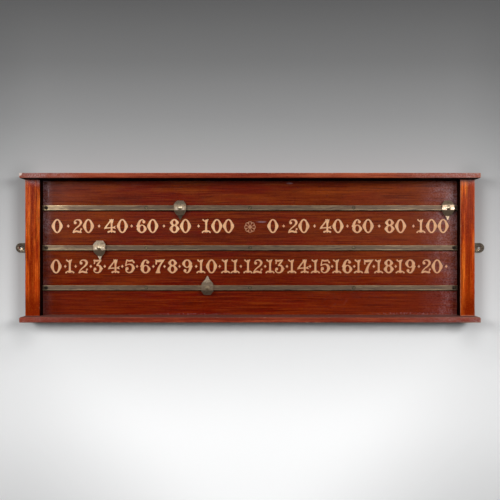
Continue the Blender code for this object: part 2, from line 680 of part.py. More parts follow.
def main():
    """Build the scoreboard."""
    clear_scene()
    finishes = make_finishes()
    build_board(finishes)
    for rail in RAILS:
        build_rail(rail, finishes)
    build_pointers(finishes)
    build_hangers(finishes)


main()
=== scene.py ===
"""The looks of a wall-hung billiard scoreboard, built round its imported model.

Everything is in metres. X runs along the board and Z up. The board faces -Y, and the wall is at Y = 0.
"""

from __future__ import annotations

import json
import logging
import math
from collections.abc import Iterable, Mapping
from dataclasses import dataclass, field
from enum import Enum
from typing import Any

import bmesh
import bpy
from mathutils import Euler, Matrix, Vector
from mathutils.geometry import delaunay_2d_cdt

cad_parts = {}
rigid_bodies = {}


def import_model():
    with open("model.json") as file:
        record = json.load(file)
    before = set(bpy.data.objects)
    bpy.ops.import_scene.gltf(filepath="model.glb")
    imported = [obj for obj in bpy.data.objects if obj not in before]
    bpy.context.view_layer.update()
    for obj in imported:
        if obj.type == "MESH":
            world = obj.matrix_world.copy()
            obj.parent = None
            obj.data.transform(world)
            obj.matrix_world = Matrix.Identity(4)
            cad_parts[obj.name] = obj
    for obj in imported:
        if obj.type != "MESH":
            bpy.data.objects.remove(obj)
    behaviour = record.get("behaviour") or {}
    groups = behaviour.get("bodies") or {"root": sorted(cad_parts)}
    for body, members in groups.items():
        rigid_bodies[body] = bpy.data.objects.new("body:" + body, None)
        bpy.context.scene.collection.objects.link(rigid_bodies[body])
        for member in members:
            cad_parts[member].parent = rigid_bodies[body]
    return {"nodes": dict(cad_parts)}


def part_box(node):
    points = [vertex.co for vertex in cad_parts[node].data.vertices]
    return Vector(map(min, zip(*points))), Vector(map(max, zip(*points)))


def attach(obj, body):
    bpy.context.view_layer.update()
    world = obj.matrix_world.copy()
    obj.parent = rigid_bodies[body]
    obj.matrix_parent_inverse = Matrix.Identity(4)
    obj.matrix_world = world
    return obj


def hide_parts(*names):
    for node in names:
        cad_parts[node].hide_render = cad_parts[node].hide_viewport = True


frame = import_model()

Point = tuple[float, float]
Colour = tuple[float, float, float, float]
Outline = list[Point]
Socket = bpy.types.NodeSocket
Material = bpy.types.Material
Mesh = bpy.types.Mesh
Piece = bpy.types.Object

LOG = logging.getLogger("scoreboard")
BOARD = "board"
RAILS = ("upper", "middle", "lower")
HANDS = ("left", "right")
RUB = "rub"
SHADE_AND_DARKENING = "grime"
LOCAL = "local"
GLYPH = "glyph"
TURN = "turn"
MERGE = 0.00001
MM_PER_METRE = 1000
FLAT_ANGLE = math.radians(0.2)
STRAIGHT_ANGLE = math.radians(2)
SHARP_ANGLE = math.radians(35)
QUARTER = math.pi / 2
LARGE_FACES_RULE = 100
CONVEX_HULL = 0


def tone(red: float, green: float, blue: float) -> Colour:
    """Turns a display colour with levels from 0 to 255 into the linear colour that a shader takes.

    Args:
        red: Red level.
        green: Green level.
        blue: Blue level.

    Returns:
        The linear colour, with full alpha.
    """
    shares = [level / 255 for level in (red, green, blue)]
    linear = [s / 12.92 if s <= 0.04045 else ((s + 0.055) / 1.055) ** 2.4 for s in shares]
    return (*linear, 1.0)


def plain(level: float) -> Colour:
    """Gives a number as a grey, for a mix of plain values."""
    return (level, level, level, 1.0)


class Facing(Enum):
    """The way that a screw's head looks out, as the turn that brings +Z there."""

    FRONT = (QUARTER, 0.0, 0.0)
    BACK = (-QUARTER, 0.0, 0.0)
    UP = (0.0, 0.0, 0.0)
    DOWN = (math.pi, 0.0, 0.0)

    def direction(self) -> Vector:
        """Gives the unit vector that the head faces."""
        return Euler(self.value).to_matrix() @ Vector((0.0, 0.0, 1.0))


class Grain(Enum):
    """The way that the grain of a wooden piece runs, as the turn that brings it to X."""

    ALONG = (0.0, 0.0, 0.0)
    UPRIGHT = (0.0, QUARTER, 0.0)


class Handling(Enum):
    """What has made a brass piece bright: rubbing along its edges only, the pointers' clips, or hands, the
    last two with painted highlights.
    """

    EDGES = "edges"
    POINTERS = "pointers"
    FINGERS = "fingers"


@dataclass(frozen=True)
class Pattern:
    """Noise: how fine it is along each axis, how many finer layers it has and how strong these are."""

    x: float
    y: float
    z: float
    layers: float = 3.0
    strength: float = 0.55


SWAY = Pattern(3.0, 9.0, 9.0, 2.0)
BLUSH = Pattern(9.0, 40.0, 40.0)
LINES = Pattern(9.0, 420.0, 420.0, 3.0, 0.75)
PORES = Pattern(130.0, 2600.0, 2600.0, 1.0)
STRIPES = Pattern(2.6, 170.0, 170.0, 2.0, 0.5)
DUST = Pattern(380.0, 380.0, 380.0, 3.0, 0.75)
GLOSS = Pattern(16.0, 60.0, 60.0, 4.0, 0.65)
CHIPS = Pattern(170.0, 170.0, 170.0, 6.0, 0.8)
CLOUDS = Pattern(34.0, 34.0, 48.0, 4.0, 0.65)
TARNISH = Pattern(70.0, 110.0, 110.0, 5.0, 0.65)
MOTTLE = Pattern(520.0, 640.0, 640.0, 3.0, 0.6)
STAINS = Pattern(260.0, 300.0, 300.0, 4.0, 0.7)
DRAWING = Pattern(900.0, 3200.0, 3200.0, 2.0)
COATS = Pattern(110.0, 110.0, 150.0, 3.0, 0.6)
RUBS = Pattern(420.0, 420.0, 900.0, 4.0, 0.7)

SEED_SHARES = (1.0, 0.37, 0.71)
SWAY_REACH = (0.0, 0.008, 0.008)
PORE = tone(34, 10, 6)
BARE_WOOD_AND_HIGHLIGHT = tone(204, 152, 122)
WORN_AND_GLINTING_WOOD = tone(240, 222, 210)
SETTLED_DUST = tone(150, 128, 116)
WOOD_PAINTED_SHADE = tone(5, 2, 1)
BRASS_SHADE_AND_DARKENING = tone(44, 36, 26)
BLACK = tone(0, 0, 0)


class Graph:
    """Adds and links the nodes of one tree."""

    def __init__(self, tree: bpy.types.NodeTree) -> None:
        """Keeps the shader or geometry tree and empties it."""
        self.tree = tree
        tree.nodes.clear()

    def add(self, kind: str, inputs: Mapping[str | int, Any] | None = None, **settings: Any) -> bpy.types.Node:
        """Adds one node, with its settings, values and incoming links.

        Args:
            kind: The node's type name.
            inputs: Values or sockets by the name or index of the input they go to.
            **settings: Properties of the node itself.

        Returns:
            The new node.
        """
        node = self.tree.nodes.new(kind)
        for name, value in settings.items():
            setattr(node, name, value)
        for key, value in (inputs or {}).items():
            self.feed(node.inputs[key], value)
        return node

    def feed(self, socket: Socket, value: Any) -> None:
        """Links an input to a socket, or sets it to a value.

        Args:
            socket: The input.
            value: The socket or value.
        """
        if isinstance(value, Socket):
            self.tree.links.new(value, socket)
        else:
            socket.default_value = value

    def math(self, operation: str, first: Any, second: Any = 0.0, clamp: bool = False) -> Socket:
        """Works out a number, such as SUBTRACT, and holds it between zero and one if asked."""
        node = self.add("ShaderNodeMath", {0: first, 1: second}, operation=operation, use_clamp=clamp)
        return node.outputs[0]

    def times(self, first: Any, second: Any) -> Socket:
        """Multiplies two numbers."""
        return self.math("MULTIPLY", first, second)

    def plus(self, first: Any, second: Any, clamp: bool = False) -> Socket:
        """Adds two numbers."""
        return self.math("ADD", first, second, clamp)

    def most(self, first: Any, second: Any) -> Socket:
        """Gives the larger of two numbers."""
        return self.math("MAXIMUM", first, second)

    def size(self, value: Any) -> Socket:
        """Drops a number's sign."""
        return self.math("ABSOLUTE", value)

    def line(self, value: Any, slope: float, level: float, clamp: bool = False) -> Socket:
        """Multiplies a number by a slope and adds a level."""
        inputs = {0: value, 1: slope, 2: level}
        return self.add("ShaderNodeMath", inputs, operation="MULTIPLY_ADD", use_clamp=clamp).outputs[0]

    def vector(self, operation: str, first: Any, second: Any = (0.0, 0.0, 0.0)) -> Socket:
        """Works out a vector, such as MULTIPLY."""
        return self.add("ShaderNodeVectorMath", {0: first, 1: second}, operation=operation).outputs[0]

    def distance(self, first: Any, second: Any) -> Socket:
        """Gives the distance between two points."""
        return self.add("ShaderNodeVectorMath", {0: first, 1: second}, operation="DISTANCE").outputs["Value"]

    def axes(self, vector: Any) -> tuple[Socket, ...]:
        """Splits a vector into its X, Y and Z sockets."""
        return tuple(self.add("ShaderNodeSeparateXYZ", {0: vector}).outputs)

    def combined(self, x: Any = 0.0, y: Any = 0.0, z: Any = 0.0) -> Socket:
        """Makes a vector of X, Y and Z."""
        return self.add("ShaderNodeCombineXYZ", {0: x, 1: y, 2: z}).outputs[0]

    def fade(self, value: Any, start: Any, end: float, low: Any = 0.0, high: Any = 1.0) -> Socket:
        """Maps a value smoothly from low at start to high at end.

        Args:
            value: The value that is mapped.
            start: Where the fade starts.
            end: Where it ends; it may lie below start.
            low: The result at start.
            high: The result at end.

        Returns:
            The result's socket.
        """
        if end < start:
            start, end, low, high = end, start, high, low
        inputs = {"Value": value, "From Min": start, "From Max": end, "To Min": low, "To Max": high}
        return self.add("ShaderNodeMapRange", inputs, interpolation_type="SMOOTHSTEP").outputs["Result"]


class ShaderGraph(Graph):
    """The tree of one material, ending in a Principled shader."""

    def __init__(self, name: str) -> None:
        """Makes the material and its shader.

        Args:
            name: The material's name.
        """
        self.material = bpy.data.materials.new(name)
        self.material.use_nodes = True
        super().__init__(self.material.node_tree)
        self.shader = self.add("ShaderNodeBsdfPrincipled")
        self.output = self.add("ShaderNodeOutputMaterial", {"Surface": self.shader.outputs[0]})
        self.place = self.add("ShaderNodeTexCoord").outputs["Object"]

    def attribute(self, name: str, output: str = "Fac") -> Socket:
        """Reads a named attribute of the mesh."""
        return self.add("ShaderNodeAttribute", attribute_name=name).outputs[output]

    def noise(self, vector: Any, pattern: Pattern, drawn: float = 1.0) -> Socket:
        """Adds a pattern's noise.

        Args:
            vector: The place on the piece.
            pattern: The pattern.
            drawn: How many times it is drawn out along X.

        Returns:
            The noise, from about zero to one.
        """
        stretched = self.vector("MULTIPLY", vector, (pattern.x / drawn, pattern.y, pattern.z))
        inputs = {"Vector": stretched, "Scale": 1.0, "Detail": pattern.layers, "Roughness": pattern.strength}
        return self.add("ShaderNodeTexNoise", inputs).outputs[0]

    def ramp(self, factor: Any, *stops: tuple[float, Colour]) -> Socket:
        """Runs a value through a row of colours.

        Args:
            factor: The value.
            *stops: The place and colour of each stop, in rising order.

        Returns:
            The colour's socket.
        """
        node = self.add("ShaderNodeValToRGB", {0: factor})
        elements = node.color_ramp.elements
        while len(elements) < len(stops):
            elements.new(1.0)
        for element, (position, colour) in zip(elements, stops):
            element.position = position
            element.color = colour
        return node.outputs["Color"]

    def mix(self, share: Any, first: Any, second: Any) -> Socket:
        """Mixes a share of a second colour into a first one."""
        return self.add("ShaderNodeMix", {0: share, 6: first, 7: second}, data_type="RGBA").outputs[2]

    def tint(
        self, colour: Any, other: Any, value: Any, start: float, end: float, share: float = 1.0,
    ) -> Socket:
        """Mixes a share of another colour in where a value has passed from start to end."""
        return self.mix(self.fade(value, start, end, 0.0, share), colour, other)

    def bump(self, height: Any, depth: float, strength: float) -> None:
        """Lets a height, from zero to one, shape the surface to a depth in metres."""
        node = self.add("ShaderNodeBump", {"Height": height, "Distance": depth, "Strength": strength})
        self.tree.links.new(node.outputs[0], self.shader.inputs["Normal"])

    def dress(self, **values: Any) -> Material:
        """Sets or links the shader's sockets, named in lower case with low lines for spaces.

        Args:
            **values: A value or a socket for each of them.

        Returns:
            The finished material.
        """
        sockets = {socket.name.lower().replace(" ", "_"): socket for socket in self.shader.inputs}
        for name, value in values.items():
            self.feed(sockets[name], value)
        return self.material


@dataclass(frozen=True)
class Mahogany:
    """Old varnished mahogany: its tones, its figure, how red and worn it has become, and its hazy varnish,
    with painted sheen and shade.
    """

    name: str
    grain: Grain
    deep: Colour
    middle: Colour
    light: Colour
    red: Colour
    band: float = 0.030
    calm: float = 0.20
    figure: float = 0.5
    streak: float = 0.0
    vein: float = 0.0
    paler: float = 0.0
    redder: float = 0.0
    shaded: float = 0.0
    worn_corner_glint: float = 0.0
    haze_and_sheen: float = 0.0
    bloom_and_sheen_colour: Colour = tone(164, 140, 146)
    reach: float = 0.420
    chipped: float = 0.55
    scuffs: tuple[tuple[float, float, float, float], ...] = ()
    scuffs_break_below: float = -0.1
    roughness: float = 0.42
    gleam: float = 0.07
    seed: float = 0.0

    def material(self, low: Vector, high: Vector, rail_shadows: Iterable[float] = ()) -> Material:
        """Makes the finish for one piece.

        Args:
            low: The lowest corner of the piece's box.
            high: The highest corner of it.
            rail_shadows: The heights of the painted shadow lines under what lies on it.

        Returns:
            The material.
        """
        graph = ShaderGraph(self.name)
        lie = graph.add("ShaderNodeMapping", {"Vector": graph.place, "Rotation": self.grain.value}).outputs[0]
        grain = graph.vector("ADD", lie, tuple(self.seed * share for share in SEED_SHARES))
        sway = graph.noise(grain, SWAY)
        centred = graph.math("SUBTRACT", sway, 0.5)
        swing = graph.vector("MULTIPLY", graph.combined(centred, centred, centred), SWAY_REACH)
        grain = graph.vector("ADD", grain, swing)
        lines, dust = graph.noise(grain, LINES), graph.noise(graph.place, DUST)
        pitted = graph.fade(graph.noise(grain, PORES), 0.58, 0.70, 0.0, 0.6)
        _, depth, height = graph.axes(graph.place)

        colour = self.figured(graph, grain)
        colour = graph.tint(colour, self.deep, lines, 0.48, 0.64, 0.65)
        colour = graph.tint(colour, self.light, lines, 0.48, 0.34, 0.5)
        colour = graph.mix(pitted, colour, PORE)
        if self.streak:
            colour = self.streaked(graph, colour, grain, sway)
        colour = graph.mix(self.wear_and_edge_highlight(graph, low, high), colour, BARE_WOOD_AND_HIGHLIGHT)
        # Worn corner with a painted glint: a pale spot at the top shelf's front left corner.
        if self.worn_corner_glint and high.z > 0.0:
            corner = graph.distance(graph.place, (low.x, low.y, high.z))
            colour = graph.tint(colour, WORN_AND_GLINTING_WOOD, corner, 0.0072, 0.0044, self.worn_corner_glint)
        colour = graph.tint(colour, self.light, dust, 0.50, 0.72, 0.14)
        colour = graph.tint(colour, self.deep, dust, 0.48, 0.32, 0.26)
        upward = graph.axes(graph.add("ShaderNodeNewGeometry").outputs["Normal"])[2]
        settled = graph.times(graph.fade(upward, 0.6, 0.9), graph.fade(dust, 0.36, 0.62, 0.4, 1.0))
        colour = graph.mix(graph.times(settled, 0.4), colour, SETTLED_DUST)
        front = graph.fade(depth, low.y + 0.003, low.y + 0.001)
        # Pale, hazy varnish near the ends and at the stiles' heads, with painted sheen where the lamps would
        # shine there.
        if self.haze_and_sheen:
            colour = graph.mix(self.bloom_and_sheen(graph, dust, front), colour, self.bloom_and_sheen_colour)
        # Painted shade: faces that look away from the lamps, a stile's inner face and the top shelf's
        # underside, go nearly black, and painted shadow lines run under the rails.
        grime = graph.fade(graph.attribute(SHADE_AND_DARKENING), 0.50, 0.85, 0.0, 0.98)
        for rail_shadow in rail_shadows:
            offset = graph.size(graph.math("SUBTRACT", height, rail_shadow))
            grime = graph.most(grime, graph.times(graph.fade(offset, 0.0026, 0.0010, 0.0, 0.9), front))
        colour = graph.mix(grime, colour, WOOD_PAINTED_SHADE)

        rough = graph.fade(graph.noise(grain, GLOSS), 0.30, 0.70, self.roughness - 0.05, self.roughness + 0.06)
        rough = graph.mix(graph.most(grime, settled), rough, plain(1.0))
        graph.bump(graph.math("SUBTRACT", graph.line(lines, 0.5, 0.5), pitted), 0.00012, 0.6)
        return graph.dress(base_color=colour, roughness=rough, specular_ior_level=self.gleam)

    def figured(self, graph: ShaderGraph, grain: Socket) -> Socket:
        """Draws the broad bands of the figure and how it reddens and darkens over the board, with its ends
        drawn paler as painted sheen.

        Args:
            graph: The material's tree.
            grain: The place along the grain.

        Returns:
            The colour.
        """
        across = 1.0 / self.band
        bands = graph.noise(grain, Pattern(across * 0.10, across, across, 4.0, 0.62))
        stops = (0.5 - self.calm, self.deep), (0.5, self.middle), (0.5 + self.calm, self.light)
        side, _, height = graph.axes(graph.place)
        outer = graph.size(graph.plus(side, 0.08))
        colour = graph.ramp(bands, *stops)
        colour = graph.tint(colour, self.red, graph.noise(grain, BLUSH), 0.44, 0.60, self.figure)
        # Painted sheen: the ends are drawn paler, where the lamps' sheen falls.
        colour = graph.tint(colour, self.light, outer, 0.05, 0.40, self.paler)
        colour = graph.tint(colour, self.red, height, 0.02, -0.11, self.redder)
        if self.shaded:
            upper = graph.times(graph.fade(side, -0.10, -0.25), graph.fade(height, 0.085, 0.115))
            colour = graph.mix(graph.times(upper, self.shaded * 0.8), colour, self.red)
            colour = graph.tint(colour, self.deep, side, -0.372, -0.405, self.shaded)
        return colour

    def streaked(self, graph: ShaderGraph, colour: Socket, grain: Socket, sway: Socket) -> Socket:
        """Draws the dark stripes, the wandering vein and the blots at the foot of a stile.

        Args:
            graph: The material's tree.
            colour: The colour so far.
            grain: The place along the grain.
            sway: Slow noise that bends the vein.

        Returns:
            The colour.
        """
        side, _, height = graph.axes(graph.place)
        offset = graph.size(graph.plus(graph.size(side), graph.line(sway, 0.010, -0.005 - self.vein)))
        blots = graph.fade(graph.noise(grain, BLUSH), 0.38, 0.54, 0.35, 0.95)
        colour = graph.tint(colour, self.deep, graph.noise(grain, STRIPES), 0.53, 0.62, self.streak)
        colour = graph.tint(colour, self.deep, offset, 0.0075, 0.0010, self.streak)
        return graph.mix(graph.times(graph.fade(height, -0.080, -0.115), blots), colour, self.deep)

    def wear_and_edge_highlight(self, graph: ShaderGraph, low: Vector, high: Vector) -> Socket:
        """Works out how far the finish is rubbed off along the edges of a piece's box, and a wider pale edge
        at the right end that is a painted highlight.

        Args:
            graph: The material's tree.
            low: The lowest corner of the box.
            high: The highest corner of it.

        Returns:
            The share of bare wood and painted highlight that shows.
        """
        offset = graph.vector("ABSOLUTE", graph.vector("SUBTRACT", graph.place, (low + high) / 2))
        x, y, z = graph.axes(graph.vector("SUBTRACT", (high - low) / 2, offset))
        edge = graph.most(graph.math("MINIMUM", x, y), graph.math("MINIMUM", graph.most(x, y), z))
        chips = graph.fade(graph.noise(graph.place, CHIPS), 0.48, 0.72, 0.0, 0.0020)
        # Painted highlight: a wider pale edge at the right end stands for light caught along the edges there.
        right = graph.fade(graph.axes(graph.place)[0], 0.405, 0.430, 0.0, 0.0012)
        inside = graph.math("SUBTRACT", edge, graph.plus(chips, right))
        return graph.fade(inside, 0.0007, -0.0004, 0.0, self.chipped)

    def bloom_and_sheen(self, graph: ShaderGraph, dust: Socket, front: Socket) -> Socket:
        """Works out the pale, hazy patches on old varnish together with painted sheen, near the board's ends
        or at a stile's head, and the scuffs.

        Args:
            graph: The material's tree.
            dust: Fine noise that breaks it up.
            front: One at the front face, where the scuffs are, and zero behind it.

        Returns:
            The share of pale varnish and painted sheen that shows.
        """
        x, _, z = graph.axes(graph.place)
        ends = graph.fade(z, 0.120, 0.139)
        if self.grain is Grain.ALONG:
            right = graph.times(graph.fade(x, self.reach - 0.08, 0.430), graph.fade(z, -0.10, 0.12, 0.55, 1.0))
            # On the panel this left part also paints light into the strip beside the left stile, where its
            # shadow falls.
            left = graph.times(graph.fade(x, 0.02 - self.reach, -0.422), graph.fade(z, -0.10, 0.12, 0.25, 1.0))
            ends = graph.plus(right, left)
        clouds = graph.fade(graph.noise(graph.place, CLOUDS), 0.34, 0.66, 0.25, 1.0)
        amount = graph.times(ends, graph.times(clouds, graph.fade(dust, 0.38, 0.64, 0.2, 1.15)))
        for middle, level, half_length, half_height in self.scuffs:
            offset = graph.vector("SUBTRACT", graph.place, (middle, 0.0, level))
            offset = graph.vector("MULTIPLY", offset, (1 / half_length, 0.0, 1 / half_height))
            smear = graph.times(graph.fade(graph.distance(offset, (0.0, 0.0, 0.0)), 1.3, 0.3), front)
            broken = (0.52, 0.62, 0.0, 0.8) if level < self.scuffs_break_below else (0.36, 0.62, 0.3, 0.9)
            amount = graph.most(amount, graph.times(smear, graph.fade(dust, *broken)))
        return graph.math("MULTIPLY", amount, self.haze_and_sheen, clamp=True)


@dataclass(frozen=True)
class AgedBrass:
    """Brass with a brown patina that hands have rubbed bright in places, and painted highlights on the
    pointers and rails.
    """

    name: str
    bright: Colour
    patina: Colour
    dark: Colour
    shine: float = 0.25
    dull: float = 0.46
    drawn: float = 1.0
    polish: float = 0.0
    metal: float = 0.75
    handling: Handling = Handling.EDGES

    def material(
        self, rubbed: Iterable[tuple[Vector, float, float]] = (), ringed: Iterable[tuple[Vector, float]] = (),
    ) -> Material:
        """Makes the finish.

        Args:
            rubbed: The middle, radius and share of each bright spot, rubbed brass with a painted highlight.
            ringed: The middle and radius of each painted shadow ring around a screw's head.

        Returns:
            The material.
        """
        graph = ShaderGraph(self.name)
        rub, grime = graph.attribute(RUB), graph.attribute(SHADE_AND_DARKENING)
        # Painted shadow: a dark ring round each screw's head.
        for middle, radius in ringed:
            offset = graph.size(graph.math("SUBTRACT", graph.distance(graph.place, middle), radius))
            grime = graph.most(grime, graph.fade(offset, 0.0012, 0.0004))
        if self.handling is not Handling.EDGES:
            rubbed_and_highlighted = self.fingers(graph, grime) if self.handling is Handling.FINGERS else self.slid_and_highlighted(graph)
            rub = graph.plus(graph.times(rub, 0.3), rubbed_and_highlighted)
        rub = graph.times(rub, graph.fade(grime, 0.0, 0.5, 1.0, 0.1))
        tarnish = graph.noise(graph.place, TARNISH, self.drawn)
        mottle = graph.noise(graph.place, MOTTLE, self.drawn)
        # Bright brass: real rubbing, together with the painted highlights on pointers and rails.
        worn = graph.plus(rub, graph.fade(tarnish, 0.38, 0.70, self.polish - 0.10, self.polish + 0.25))
        worn = graph.plus(worn, graph.fade(mottle, 0.35, 0.65, -0.20, 0.20), clamp=True)
        worn = graph.times(worn, graph.fade(grime, 0.0, 1.0, 1.0, 0.1))
        # Bright spots round the hanging plates' holes: rubbed brass with a painted highlight.
        for middle, radius, share in rubbed:
            spot = graph.fade(graph.distance(graph.place, middle), radius, radius * 0.7, 0.0, share)
            worn = graph.most(worn, spot)

        stained = graph.fade(graph.noise(graph.place, STAINS, self.drawn), 0.50, 0.66, 0.0, 0.75)
        stained = graph.times(stained, graph.math("SUBTRACT", 1.0, worn, clamp=True))
        colour = graph.mix(stained, graph.mix(worn, self.patina, self.bright), self.dark)
        # Darker where a pointer is marked darker, and in the painted shadow rings round the screws.
        colour = graph.tint(colour, BRASS_SHADE_AND_DARKENING, grime, 0.0, 1.0, 0.85)
        rough = graph.mix(worn, plain(self.dull), plain(self.shine))
        rough = graph.tint(rough, plain(0.7), grime, 0.0, 1.0)
        drawing = graph.noise(graph.place, DRAWING, self.drawn)
        graph.bump(graph.plus(drawing, graph.times(mottle, 0.5)), 0.00002, 0.35)
        metallic = graph.fade(worn, 0.0, 0.7, self.metal, 1.0)
        return graph.dress(base_color=colour, roughness=rough, metallic=metallic)

    def fingers(self, graph: ShaderGraph, grime: Socket) -> Socket:
        """Works out where a pointer shows bright brass, partly rubbed by hands and partly painted highlight:
        beside its rivet, on its head and at its tip.

        Args:
            graph: The material's tree.
            grime: How much darker it is drawn. Below zero, its head and its flanks are left brown.

        Returns:
            The share of bright brass.
        """
        side, _, height = graph.axes(graph.attribute(LOCAL, "Vector"))
        side = graph.size(side)
        # Painted highlights: bright squares on the bend either side of the rivet, and a lighter head where it
        # faces up to the light; the tip is drawn lighter too.
        band = graph.times(graph.fade(height, -0.0046, -0.0036), graph.fade(height, 0.0040, -0.0008))
        outer = graph.fade(side, 0.0112, 0.0076, 0.2, 1.0)
        pads = graph.times(graph.fade(side, 0.0018, 0.0040, 0.2, 1.0), outer)
        brown = graph.fade(grime, 0.0, -1.0)
        head = graph.math("SUBTRACT", graph.fade(height, 0.0044, 0.0062, 0.0, 0.24), graph.times(brown, 0.6))
        tip = graph.fade(height, -0.0160, -0.0176, -0.15, 0.28)
        return graph.plus(graph.times(band, graph.most(brown, pads)), graph.plus(head, tip))

    def slid_and_highlighted(self, graph: ShaderGraph) -> Socket:
        """Works out where a rail shows bright brass, partly rubbed by the pointers' clips and partly painted
        highlight: along its edges and at its left end.

        Args:
            graph: The material's tree.

        Returns:
            The share of bright brass.
        """
        height = graph.axes(graph.attribute(LOCAL, "Vector"))[2]
        side, _, level = graph.axes(graph.place)
        edges = graph.fade(graph.size(height), 0.0028, 0.0044, -0.12, 0.40)
        # Painted glint: each rail's left end is drawn brighter.
        end = graph.times(graph.fade(side, -0.345, -0.402), graph.fade(level, -0.09, 0.09, 0.06, 0.28))
        return graph.plus(edges, end)


@dataclass(frozen=True)
class LetteringPaint:
    """Cream size colour, worn thin in places, and drawn darker on the right and in the lower row."""

    name: str = "numeral_paint"
    cream: Colour = tone(250, 202, 150)
    peach: Colour = tone(236, 176, 126)
    thin: Colour = tone(198, 134, 88)

    def material(self) -> Material:
        """Makes the finish.

        Returns:
            The material.
        """
        graph = ShaderGraph(self.name)
        side, _, height = graph.axes(graph.place)
        rubs = graph.noise(graph.place, RUBS)
        colour = graph.tint(self.cream, self.peach, graph.noise(graph.place, COATS), 0.35, 0.65)
        colour = graph.tint(colour, self.thin, rubs, 0.52, 0.74, 0.8)
        # Drawn darker in the lower row and on the right.
        colour = graph.tint(colour, self.thin, height, 0.02, -0.02, 0.4)
        colour = graph.tint(colour, self.thin, side, -0.14, 0.02, 0.32)
        graph.bump(rubs, 0.00004, 0.5)
        return graph.dress(base_color=colour, roughness=graph.fade(rubs, 0.30, 0.70, 0.42, 0.62))


PANEL_WOOD = Mahogany(
    "panel_mahogany", Grain.ALONG, tone(72, 12, 2), tone(112, 34, 4), tone(148, 64, 14), tone(112, 17, 5),
    band=0.020, calm=0.30, figure=0.7, paler=0.35, redder=0.55, shaded=0.4, haze_and_sheen=0.72, chipped=0.2,
    roughness=0.20,
    scuffs=(
        (0.024, 0.053, 0.011, 0.0016), (0.081, 0.132, 0.007, 0.0018), (-0.412, 0.112, 0.0011, 0.015),
        (-0.130, -0.1352, 0.090, 0.0014), (0.330, -0.1345, 0.080, 0.0022),
    ),
)
STILE_WOOD = Mahogany(
    "stile_mahogany", Grain.UPRIGHT,
    tone(126, 32, 2), tone(204, 76, 14), tone(252, 132, 40), tone(176, 46, 12),
    band=0.010, calm=0.12, figure=0.4, streak=0.6, vein=0.440, redder=0.55, haze_and_sheen=0.9, chipped=0.4,
    roughness=0.20, gleam=0.03, seed=1.7,
)
SHELF_WOOD = Mahogany(
    "shelf_mahogany", Grain.ALONG, tone(106, 34, 18), tone(150, 60, 36), tone(194, 100, 64), tone(122, 35, 20),
    band=0.020, calm=0.30, figure=0.5, paler=0.4, redder=0.75, worn_corner_glint=0.95, haze_and_sheen=0.75,
    bloom_and_sheen_colour=tone(178, 150, 150), reach=0.34, roughness=0.30, seed=4.1,
)
PACKING_WOOD = Mahogany(
    "packing_mahogany", Grain.ALONG, tone(40, 13, 6), tone(62, 22, 10), tone(78, 32, 16), tone(66, 18, 8),
    band=0.010, roughness=0.55, seed=7.3,
)
RAIL_BRASS = AgedBrass(
    "rail_brass", tone(190, 168, 130), tone(102, 80, 62), tone(60, 46, 38), drawn=9.0, metal=0.55,
    handling=Handling.POINTERS,
)
PLATE_BRASS = AgedBrass(
    "plate_brass", tone(250, 232, 208), tone(170, 146, 120), tone(112, 92, 68), shine=0.14, dull=0.36,
    handling=Handling.FINGERS,
)
CLIP_BRASS = AgedBrass("clip_brass", tone(206, 180, 132), tone(150, 124, 84), tone(96, 76, 48))
RIVET_BRASS = AgedBrass("rivet_brass", tone(240, 222, 190), tone(190, 164, 128), tone(120, 96, 66), polish=0.5)
HANGER_BRASS = AgedBrass(
    "hanger_brass", tone(244, 226, 196), tone(58, 46, 34), tone(30, 23, 17), dull=0.5, polish=-0.06, metal=0.6,
)
SCREW_BRASS = AgedBrass("screw_brass", tone(196, 172, 134), tone(86, 70, 52), tone(46, 36, 26), polish=0.12)
STOP_BRASS = AgedBrass("stop_brass", tone(150, 126, 96), tone(44, 34, 26), tone(24, 19, 15), dull=0.5)
NUMERAL_PAINT = LetteringPaint()
ROSETTE_PAINT = LetteringPaint("rosette_paint", tone(196, 140, 98), tone(178, 120, 82), tone(150, 92, 58))


def store(mesh: Mesh, name: str, kind: str, values: Iterable[Any]) -> None:
    """Writes one value for each vertex of a mesh under a name.

    Args:
        mesh: The mesh.
        name: The attribute's name.
        kind: Its type, such as FLOAT.
        values: The values in the vertices' order.
    """
    attribute = mesh.attributes.new(name, kind, "POINT")
    for item, value in zip(attribute.data, values):
        setattr(item, "vector" if kind == "FLOAT_VECTOR" else "value", value)


def placed_from(mesh: Mesh, middle: Vector, turn: float = 1.0) -> None:
    """Stores where each vertex lies from a point; turn is minus one for a piece that is upside down."""
    places = [v.co - middle for v in mesh.vertices]
    store(mesh, LOCAL, "FLOAT_VECTOR", [(p.x * turn, p.y, p.z * turn) for p in places])


def shown(name: str, mesh: Mesh, material: Material | None = None) -> Piece:
    """Puts a mesh into the scene as an object at the origin.

    Args:
        name: The object's name.
        mesh: Its mesh, with its place in its vertices.
        material: The finish, or None where the mesh has one.

    Returns:
        The object.
    """
    piece = bpy.data.objects.new(name, mesh)
    bpy.context.scene.collection.objects.link(piece)
    if material:
        mesh.materials.clear()
        mesh.materials.append(material)
    return piece


def settle(piece: Piece, body: str, nodes: Iterable[str] = ()) -> None:
    """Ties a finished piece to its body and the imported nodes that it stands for.

    Args:
        piece: The finished piece.
        body: The body that it moves with.
        nodes: The nodes that it replaces.
    """
    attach(piece, body)
    stood_for = list(nodes)
    if stood_for:
        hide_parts(*stood_for)
    LOG.info("%s: %d faces, rides on %s", piece.name, len(piece.data.polygons), body)


def plain_mesh(carrier: Piece) -> Mesh:
    """Gives what a carrier's modifiers make of its mesh, and removes the carrier.

    Args:
        carrier: The object with the modifiers.

    Returns:
        A new mesh.
    """
    evaluated = carrier.evaluated_get(bpy.context.evaluated_depsgraph_get())
    mesh = bpy.data.meshes.new_from_object(evaluated)
    bpy.data.objects.remove(carrier)
    return mesh


